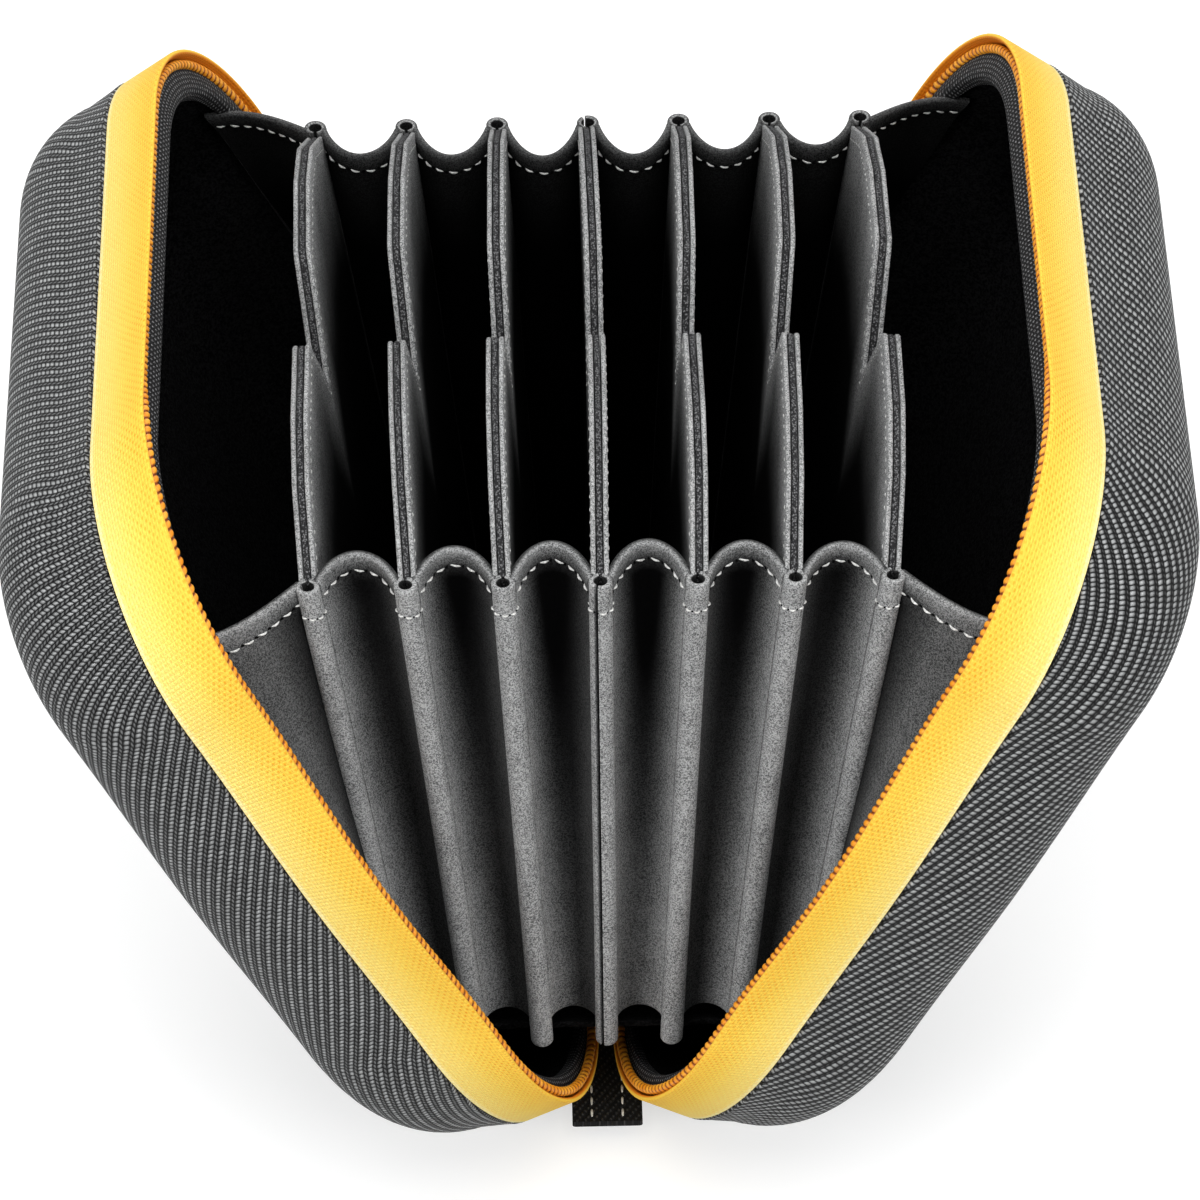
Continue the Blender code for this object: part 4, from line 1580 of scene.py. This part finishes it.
@dataclass(frozen=True)
class Gusset:
    """Half of a pleated gusset: felt looped round each divider's end, folded in between."""

    side: Side
    end: End
    insert: InsertShape = INSERT
    thickness: float = 0.0012
    ridge_clearance: float = 0.0019
    top_valley: float = 0.0084
    bottom_valley: float = 0.0054
    inner_extra: float = 0.0007
    bottom_lift: float = 0.002
    edge_depth: float = 0.006
    edge_drop: float = 0.0035
    wall_gap: float = 0.0004
    loop_wall: float = 0.0008
    loop_half_width: float = 0.00178
    loop_half_depth: float = 0.00182
    loop_turn: float = math.radians(166)
    loop_hang: float = 0.0042
    split: float = 0.0006
    split_gap: float = 0.0003
    fold_start: float = 0.0026
    fold_power: float = 0.9
    fold_round: float = 0.35
    fold_tuck: float = 0.42
    split_tuck: float = 0.1
    rows: int = 40
    panel_columns: int = 30
    hem_drop: float = 0.003
    hem_rise: float = 0.00012
    hem_edge: float = 0.0004
    loop_stitch_drop: float = 0.0052
    # Painted light and shade of the felt: lit_depth to back_fold_share set where ridges, hems and tops
    # are pale and where valleys, inner sides and the back gusset are dark.
    lit_depth: float = 0.0066
    shaded_wall: float = 0.22
    lit_wall: float = 0.7
    ridge_light: float = 0.9
    falloff: float = 1.3
    loop_side_light: float = 0.35
    loop_inside_share: float = 0.12
    loop_points: int = 25
    last_light: float = 0.32
    last_reach: float = 0.4
    last_falloff: float = 1.5
    hem_light: float = 0.46
    top_light: float = 0.34
    top_depth: float = 0.0008
    inner_hem_light: float = 0.16
    inner_light: float = 0.05
    inner_depth: float = 0.02
    back_loop_share: float = 0.35
    back_fold_share: float = 0.45
    stitching: Stitching = Stitching(
        spacing=0.0023, dash_share=0.66, thread_radius=0.00018, hole_radius=0.00036, lean=0.0002,
    )
    loop_stitching: Stitching = Stitching(
        spacing=0.0013, dash_share=0.75, thread_radius=0.00017, hole_radius=0.0002,
    )

    @property
    def front(self) -> float:
        """Distance of the ridges' outermost surface from the spine's middle."""
        return self.insert.width / 2 + self.ridge_clearance + self.thickness

    @property
    def low(self) -> float:
        """Height of the gusset's lower edge above the dividers' foot."""
        return float(self.insert.bottom(self.insert.width / 2)) + self.bottom_lift

    def heights(self, hang: float = 0.0) -> np.ndarray:
        """Heights of its rows above the dividers' foot, from as far below its edge as it hangs."""
        low = self.low - hang
        top = self.insert.shoulder_height
        return low + edge_spacing(self.rows, self.thickness / 2, top - low)

    def valley(self, number: int, height: float) -> float:
        """How far a fold recedes at a height, more in the folds near the middle.

        Args:
            number: The inner ridge's number, 0 at the middle divider.
            height: Height above the dividers' foot.

        Returns:
            The distance.
        """
        share = (height - self.low) / (self.insert.shoulder_height - self.low)
        top = self.top_valley + self.inner_extra * (self.insert.each_side - number)
        return self.bottom_valley + (top - self.bottom_valley) * share

    def wall_reach(self, v: float, t: float, inset: float) -> float:
        """How far the tray's wall stands from the spine's middle, along u.

        Args:
            v: Height up the zipper's plane.
            t: Depth into the tray.
            inset: Distance inwards from the outline.

        Returns:
            The distance.
        """
        line = self.insert.shape.ring_shape(inset, t)
        after = np.roll(line, -1, axis=0)
        cross = (line[:, 1] - v) * (after[:, 1] - v) <= 0
        cross &= line[:, 1] != after[:, 1]
        share = (v - line[cross, 1]) / (after[cross, 1] - line[cross, 1])
        return float(np.abs(line[cross, 0] + (after[cross, 0] - line[cross, 0]) * share).max())

    def wall_end(self, height: float) -> tuple[float, float]:
        """x and distance along Y where the gusset meets the tray's lining.

        Args:
            height: Height above the dividers' foot.

        Returns:
            x on the right side, and the distance from the spine's middle.
        """
        insert, shape = self.insert, self.insert.shape
        drop = self.edge_drop * height / insert.shoulder_height
        rise = insert.foot + height - drop - shape.lift
        v = (rise + self.edge_depth * math.sin(shape.opening)) / math.cos(shape.opening)
        wall = shape.cover_thickness + shape.core_thickness + shape.lining_thickness
        wall += 2 * shape.seam
        y = self.wall_reach(v, self.edge_depth, wall) - self.wall_gap - self.thickness / 2
        return float(shape.in_tray(Side.RIGHT, 0, v, self.edge_depth)[0]), y

    def fold_path(self, number: int, height: float) -> np.ndarray:
        """Plan of the fold between one ridge and the next, at a height.

        Args:
            number: The inner ridge's number, 0 at the middle divider.
            height: Height above the dividers' foot.

        Returns:
            Points by x and distance along Y, on the right side.
        """
        insert = self.insert
        reach = self.loop_half_width - self.thickness * self.fold_tuck
        near = float(insert.divider_x(number, height)) + reach
        start_y = self.front - self.fold_start
        if number < insert.each_side:
            far = float(insert.divider_x(number + 1, height)) - reach
            turn = np.linspace(0, math.pi, self.panel_columns + 1)
            even = 1 - 2 * turn / math.pi
            swing = self.fold_round * np.cos(turn) + (1 - self.fold_round) * even
            deep = self.valley(number, height) - self.fold_start
            x = (near + far) / 2 - (far - near) / 2 * swing
            return np.stack([x, start_y - deep * np.sin(turn) ** self.fold_power], axis=1)
        share = np.linspace(0, 1, self.panel_columns + 1)
        end_x, end_y = self.wall_end(height)
        out = (share + np.sin(share * math.pi / 2)) / 2
        y = start_y + (end_y - start_y) * out + np.sin(math.pi * share) * self.thickness
        return np.stack([near + (end_x - near) * share, y], axis=1)

    def loop_path(self, number: int, height: float) -> np.ndarray:
        """Plan of the loop round a divider's end, at a height.

        Args:
            number: The ridge's number.
            height: Height above the dividers' foot.

        Returns:
            Points by x and distance along Y, on the right side.
        """
        middle = float(self.insert.divider_x(number, height))
        radius_x = self.loop_half_width - self.loop_wall / 2
        radius_y = self.loop_half_depth - self.loop_wall / 2
        start = -self.loop_turn
        if number == 0:
            cut = self.side.value * -self.split + self.split_gap / 2
            cut += self.loop_wall * self.split_tuck
            start = math.asin(max(min(cut / radius_x, 1), -1))
        angles = np.linspace(start, self.loop_turn, self.loop_points)
        y = self.front - self.loop_half_depth + radius_y * np.cos(angles)
        return np.stack([middle + radius_x * np.sin(angles), y], axis=1)

    def to_world(self, plan: np.ndarray, height: float, fall: np.ndarray) -> np.ndarray:
        """World points of a plan at a height.

        Args:
            plan: Points by x and distance along Y, on the right side.
            height: Height above the dividers' foot.
            fall: How far each point hangs below that height.

        Returns:
            Points by x, y and z.
        """
        x, y = self.side.value * plan[:, 0], self.end.value * plan[:, 1]
        return np.stack([x, y, self.insert.foot + height - fall], axis=1)

    def ribbon(
        self, path: Callable[[int, float], np.ndarray], number: int, wall: float, fall: float,
        hang: float,
    ) -> tuple[np.ndarray, np.ndarray, np.ndarray]:
        """Middle surface, outward normals and half thickness of an upright ribbon.

        Args:
            path: Gives the ribbon's plan at a height.
            number: The ridge's number.
            wall: The ribbon's thickness.
            fall: How far its far end hangs below its near end at the top.
            hang: How far below the gusset's lower edge it hangs.

        Returns:
            The surface as columns of points, its normals and its half thicknesses.
        """
        insert = self.insert
        heights = self.heights(hang)
        rows, normals = [], []
        for height in heights:
            kept = max(height, self.low)
            plan = path(number, float(kept))
            plan[:, 0] += insert.divider_x(number, height) - insert.divider_x(number, kept)
            drop = fall * np.linspace(0, 1, len(plan)) * height / insert.shoulder_height
            rows.append(self.to_world(plan, float(height), drop))
            run = np.gradient(rows[-1], axis=0)
            run[:, 2] = 0
            normals.append(unit(np.cross([0, 0, 1.0], run) * self.side.value * self.end.value))
        middle = np.stack(rows, axis=1)
        low, high = heights[0], heights[-1]
        share = edge_round(heights - low, wall / 2, high - low)
        return middle, np.stack(normals, axis=1), np.tile(wall / 2 * share, (len(middle), 1))

    def surface_line(
        self, middle: np.ndarray, normal: np.ndarray, heights: np.ndarray, drop: float, out: float,
    ) -> tuple[np.ndarray, np.ndarray]:
        """A line on one side of a ribbon, a distance below its top.

        Args:
            middle: The ribbon's middle surface.
            normal: Its normals.
            heights: Heights of its rows.
            drop: Distance below its upper edge.
            out: Distance from the middle surface, negative on the inner side.

        Returns:
            Points and normals.
        """
        place = np.interp(heights[-1] - drop, heights, np.arange(len(heights)))
        low, share = int(place), place % 1
        line, faces = (
            rows[:, low] * (1 - share) + rows[:, low + 1] * share for rows in (middle, normal)
        )
        faces = faces * math.copysign(1, out)
        return line + faces * abs(out), faces

    def loop_shades(self, middle: np.ndarray) -> tuple[np.ndarray, np.ndarray]:
        """Painted light and shade of a loop's outer and inner side: painted light where it stands out
        and along its top, painted shade on its inner side and over the back gusset.

        Args:
            middle: Its middle surface.

        Returns:
            The outer and the inner side's shades.
        """
        out = middle[:, -1, 1] * self.end.value - self.front + 2 * self.loop_half_depth
        light = self.loop_side_light + (1 - self.loop_side_light) * out / self.loop_half_depth
        outer = np.tile(np.clip(light, 0, 1)[:, None], (1, middle.shape[1]))
        if self.end is End.BACK:
            outer = outer * self.back_loop_share
        inner = outer * self.loop_inside_share
        inner[:, -2:] = self.ridge_light
        outer[:, -2:] = np.maximum(outer[:, -2:], self.ridge_light * outer.max())
        return outer, inner

    def fold_shades(
        self, number: int, middle: np.ndarray, below: np.ndarray, hem: np.ndarray,
    ) -> tuple[np.ndarray, np.ndarray]:
        """Painted light and shade of a fold's outer and inner side: painted shade in its valley and on
        its inner side, painted light along its hem and top.

        Args:
            number: The inner ridge's number.
            middle: Its middle surface.
            below: How far each of its rows lies below the upper edge.
            hem: Share of the hem in each row.

        Returns:
            The outer and the inner side's shades.
        """
        depth = self.front - self.fold_start - np.abs(middle[..., 1])
        lit = self.ridge_light * np.clip(1 - depth / self.lit_depth, 0, 1) ** self.falloff
        share = np.linspace(0, 1, len(lit))[:, None]
        if number == self.insert.each_side:
            reach = np.clip(share / self.last_reach, 0, 1) ** self.last_falloff
            lit = np.broadcast_to(self.last_light * reach, lit.shape)
        else:
            faces_light = number == 0 and self.side is Side.RIGHT
            near = self.lit_wall if faces_light else self.shaded_wall
            lit = lit * (near + (1 - near) * np.clip(share * 3 - 1, 0, 1))
        top = np.clip(1 - below / self.top_depth, 0, 1)
        lit = np.maximum(lit, self.hem_light * hem + self.top_light * top)
        deep = self.inner_light * np.clip(1 - below / self.inner_depth, 0, 1)
        inner = np.maximum(self.inner_hem_light * hem, deep)
        if self.end is End.BACK:
            lit = lit * self.back_fold_share
        return lit, np.broadcast_to(inner, lit.shape)

    def build_ridge(self, number: int) -> bpy.types.Object:
        """Builds the loop round one divider's end.

        Args:
            number: The ridge's number, 0 at the middle divider.

        Returns:
            The piece.
        """
        parts = MeshParts()
        middle, normal, half = self.ribbon(self.loop_path, number, self.loop_wall, 0.0, self.loop_hang)
        shade = both_sides(*self.loop_shades(middle))
        parts.add_loft(sheet_loops(middle, normal, half), shade=shade)
        heights = self.heights(self.loop_hang)
        drop, out = self.loop_stitch_drop, self.loop_wall / 2
        line, faces = self.surface_line(middle, normal, heights, drop, out)
        keep = slice(4, -4) if number else slice(0, -4)
        self.loop_stitching.sew(parts, line[keep], faces[keep], 1, 2)
        name = f"gusset_{self.end.word}_{self.side.word}_loop_{number}"
        piece = parts.build(name, [FINISHES.felt, FINISHES.thread, FINISHES.hole])
        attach(piece, self.insert.body(self.side.value * number))
        return piece

    def build_panel(self, number: int) -> bpy.types.Object:
        """Builds the fold between one ridge and the next, or between the last ridge and the tray's
        lining.

        Args:
            number: The inner ridge's number.

        Returns:
            The piece.
        """
        insert = self.insert
        last = number == insert.each_side
        parts = MeshParts()
        fall = self.edge_drop if last else 0.0
        middle, normal, half = self.ribbon(self.fold_path, number, self.thickness, fall, 0.0)
        heights = self.heights()
        below = insert.shoulder_height - heights
        hem = np.clip((self.hem_drop - below) / self.hem_edge, 0, 1)
        half = half + self.hem_rise * (hem * np.minimum(1, half / (self.thickness / 2)))
        shade = both_sides(*self.fold_shades(number, middle, below, hem))
        parts.add_loft(sheet_loops(middle, normal, half), shade=shade)
        for out in (self.thickness / 2, -self.thickness / 2):
            line, faces = self.surface_line(middle, normal, heights, self.hem_drop, out)
            self.stitching.sew(parts, line, faces, 1, 2)
        name = f"gusset_{self.end.word}_{self.side.word}_fold_{number}"
        piece = parts.build(name, [FINISHES.felt, FINISHES.thread, FINISHES.hole])
        self.bend(piece, number, last)
        return piece

    def bend(self, piece: bpy.types.Object, number: int, last: bool) -> None:
        """Works out the bodies at a fold's two edges, but only bakes the fold's placement into its mesh.

        Args:
            piece: The fold.
            number: The inner ridge's number.
            last: Whether it meets the tray.
        """
        insert = self.insert
        height = insert.shoulder_height / 2
        path = self.fold_path(number, height)
        slant = (number + 0.5) * insert.fan_step
        across = Vector((self.side.value * math.cos(slant), 0, -math.sin(slant)))
        z = insert.foot + height
        far = Vector((self.side.value * path[-1, 0], 0, z))
        if last:
            across = Vector((0, self.end.value, 0))
            far = across * min(self.wall_end(float(height))[1] for height in self.heights())
        body = f"{self.side.word}_shell" if last else insert.body(self.side.value * (number + 1))
        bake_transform(piece)

    def build(self) -> None:
        """Builds the gusset's loops and folds."""
        pieces = [self.build_ridge(number) for number in range(self.insert.each_side + 1)]
        pieces += [self.build_panel(number) for number in range(self.insert.each_side + 1)]
        node = f"gusset_{self.end.word}_{self.side.word}"
        for piece in pieces:
            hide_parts(node)
            LOG.info("%s stands for %s", piece.name, node)


@dataclass(frozen=True)
class InsertFloor:
    """Black fabric floor under the dividers, turned up at both ends."""

    insert: InsertShape = INSERT
    columns: int = 60
    rows: int = 16
    sag: float = 0.0002
    waves_across: float = 900
    waves_along: float = 210

    def build(self) -> None:
        """Builds the floor."""
        insert = self.insert
        tip = insert.floor_flat / 2 + insert.lip_length
        half = insert.each_side * insert.pitch - insert.floor_inset
        thick = insert.floor_thickness / 2
        across = edge_spacing(self.columns, thick, 2 * tip) - tip
        loops = []
        for y in across:
            rise = max(abs(y) - insert.floor_flat / 2, 0)
            reach = half - insert.lip_draw_in * rise / insert.lip_length
            x = edge_spacing(self.rows, thick, 2 * reach) - reach
            round_x = edge_round(x + reach, thick, 2 * reach)
            z = insert.shape.lift + insert.floor_height + rise * insert.lip_rise / insert.lip_length
            sag = self.sag * np.sin(x * self.waves_across) * math.sin(y * self.waves_along)
            loops.append(flat_loop(x, y, z + sag, thick * round_x))
        parts = MeshParts()
        parts.add_loft(np.stack(loops))
        piece = parts.build("insert_floor_cloth", [FINISHES.fleece])
        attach(piece, "spine")
        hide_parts("insert_floor")
        LOG.info("insert_floor_cloth rides on spine")


@dataclass(frozen=True)
class HingeStrip:
    """Twill ribbon under the spine, sewn to both rims with two rows of stitches."""

    shape: CaseShape = SHAPE
    width: float = 0.0114
    length: float = 0.093
    thickness: float = 0.0012
    drop: float = 0.0115
    columns: int = 100
    rows: int = 16
    stitch_x: float = 0.0025
    line_points: int = 80
    stitching: Stitching = Stitching(spacing=0.0026, thread_radius=0.0002, hole_radius=0.00025)

    def build(self) -> None:
        """Builds the ribbon and its stitches."""
        half = self.thickness / 2
        middle_z = self.shape.lift - self.drop
        x = edge_spacing(self.rows, half, self.width) - self.width / 2
        thick = half * edge_round(x + self.width / 2, half, self.width)
        places = edge_spacing(self.columns, half, self.length) - self.length / 2
        loops = np.stack([flat_loop(x, y, middle_z, thick) for y in places])
        parts = MeshParts()
        parts.add_loft(loops, fabric=loops * np.array([1.0, 1.0, 0.0]))
        reach = self.length / 2 - half
        line = np.zeros((self.line_points, 3))
        line[:, 1] = np.linspace(-reach, reach, self.line_points)
        for seam_x in (-self.stitch_x, self.stitch_x):
            for up in (-1.0, 1.0):
                seam = line + np.array([seam_x, 0.0, middle_z + up * half])
                self.stitching.sew(parts, seam, np.tile([0.0, 0.0, up], (len(line), 1)), 1, None)
        piece = parts.build("hinge_ribbon", [FINISHES.webbing, FINISHES.thread])
        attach(piece, "spine")
        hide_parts("hinge_strip")
        LOG.info("hinge_ribbon rides on spine")


@dataclass(frozen=True)
class ZipperHardware:
    """Slider and pull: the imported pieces, softened at their edges and enamelled."""

    edge: float = 0.0002

    def build(self) -> None:
        """Dresses the slider and the pull."""
        for name in ("zipper_slider", "zipper_pull"):
            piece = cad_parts[name]
            piece.data.materials.clear()
            piece.data.materials.append(FINISHES.enamel.material())
            bevel = piece.modifiers.new("softened_edges", "BEVEL")
            bevel.width = self.edge
            bevel.segments = 3
            bevel.limit_method = "ANGLE"
            LOG.info("%s is enamelled", name)


# The studio


@dataclass(frozen=True)
class Studio:
    """Pale floor, soft light and the camera."""

    elevation: float = math.radians(42.82)
    yaw: float = math.radians(0.54)
    roll: float = math.radians(-0.80)
    distance: float = 1.12005
    target: tuple = (0.00039, 0.0, 0.0776)
    lens: float = 210.0
    sensor: float = 36.0
    floor_size: float = 6.0
    floor_colour: tuple = (0.42, 0.42, 0.42)
    floor_glow: float = 0.58
    seen_colour: tuple = (0.55, 0.55, 0.55)
    sky: float = 0.25
    lamps: tuple = (
        ("top_lamp", (0.0, -0.25, 1.1), 0.9, 10.5),
        ("left_lamp", (-0.8, -0.8, 0.55), 0.6, 6.8),
        ("right_lamp", (0.8, -0.8, 0.55), 0.6, 6.0),
        ("back_lamp", (0.0, 1.0, 0.7), 0.7, 5.0),
    )

    def build_camera(self) -> None:
        """Places the camera at the photograph's viewing angle."""
        level = math.cos(self.elevation)
        forward = Vector((
            math.sin(self.yaw) * level, math.cos(self.yaw) * level, -math.sin(self.elevation),
        ))
        right = forward.cross(Vector((0, 0, 1))).normalized()
        up = right.cross(forward)
        turned = right * math.cos(self.roll) + up * math.sin(self.roll)
        top = -right * math.sin(self.roll) + up * math.cos(self.roll)
        data = bpy.data.cameras.new("studio_camera")
        data.lens = self.lens
        data.sensor_width = self.sensor
        data.clip_start = 0.05
        data.clip_end = 20.0
        camera = bpy.data.objects.new("studio_camera", data)
        place = Vector(self.target) - forward * self.distance
        axes = Matrix((turned, top, -forward)).transposed().to_4x4()
        camera.matrix_world = Matrix.Translation(place) @ axes
        bpy.context.scene.collection.objects.link(camera)
        bpy.context.scene.camera = camera

    def build_lamp(self, name: str, place: Sequence[float], size: float, power: float) -> None:
        """Hangs a square soft lamp that looks at the case.

        Args:
            name: The lamp's name.
            place: Where it hangs.
            size: Its width.
            power: Its power in watts.
        """
        data = bpy.data.lights.new(name, "AREA")
        data.shape = "SQUARE"
        data.size = size
        data.energy = power
        lamp = bpy.data.objects.new(name, data)
        lamp.location = place
        way = Vector(self.target) - Vector(place)
        lamp.rotation_euler = way.to_track_quat("-Z", "Y").to_euler()
        bpy.context.scene.collection.objects.link(lamp)

    def seen_directly(self, graph: Graph) -> Socket:
        """Mask of camera, mirror and glass rays."""
        rays = graph.node("ShaderNodeLightPath")
        both = graph.math("MAXIMUM", rays.outputs["Is Camera Ray"], rays.outputs["Is Glossy Ray"])
        return graph.math("MAXIMUM", both, rays.outputs["Is Transmission Ray"])

    def build_world(self) -> None:
        """Pale world that is white where it is seen and dimmer where it lights."""
        world = bpy.data.worlds.new("studio_world")
        bpy.context.scene.world = world
        world.use_nodes = True
        graph = Graph(world.node_tree)
        background = world.node_tree.nodes["Background"]
        graph.feed(background.inputs["Color"], rgba((1.0, 1.0, 1.0)))
        strength = graph.line(self.seen_directly(graph), 1 - self.sky, self.sky)
        graph.feed(background.inputs["Strength"], strength)

    def build_floor(self) -> None:
        """Pale floor that keeps the case's shadow."""
        parts = MeshParts()
        half = self.floor_size / 2
        ways = np.array([(-1, -1, 0), (1, -1, 0), (1, 1, 0), (-1, 1, 0)], float)
        parts.add_points(ways * half)
        parts.faces.append([0, 1, 2, 3])
        parts.slots.append(0)
        made = bpy.data.materials.new("pale_floor")
        made.use_nodes = True
        graph = Graph(made.node_tree)
        shader = made.node_tree.nodes["Principled BSDF"]
        shader.inputs["Roughness"].default_value = 1.0
        shader.inputs["Specular IOR Level"].default_value = 0.0
        seen = self.seen_directly(graph)
        colour = graph.mix(seen, self.floor_colour, self.seen_colour)
        graph.feed(shader.inputs["Base Color"], colour)
        light = {"Color": rgba((1, 1, 1)), "Strength": self.floor_glow}
        glow = graph.node("ShaderNodeEmission", light).outputs[0]
        matt = shader.outputs[0]
        both = graph.node("ShaderNodeAddShader", {0: matt, 1: glow}).outputs[0]
        mixed = graph.node("ShaderNodeMixShader", {0: seen, 1: matt, 2: both}).outputs[0]
        graph.feed(made.node_tree.nodes["Material Output"].inputs["Surface"], mixed)
        floor = parts.build("studio_floor", [])
        floor.data.materials.append(made)

    def build(self) -> None:
        """Builds the whole studio."""
        self.build_camera()
        self.build_world()
        self.build_floor()
        for lamp in self.lamps:
            self.build_lamp(*lamp)
        bpy.context.scene.view_settings.view_transform = "Standard"


def main() -> None:
    """Builds the studio and the case, and reports each piece."""
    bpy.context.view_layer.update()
    Studio().build()
    Tray(Side.LEFT, rib_angle=math.radians(29), nylon=FINISHES.steep_nylon).build()
    Tray(Side.RIGHT, rib_angle=math.radians(27), nylon=FINISHES.nylon).build()
    for step in range(-INSERT.each_side, INSERT.each_side + 1):
        Divider(step).build()
    for end in End:
        for side in Side:
            Gusset(side, end).build()
    InsertFloor().build()
    HingeStrip().build()
    ZipperHardware().build()


if __name__ == "__main__":
    main()
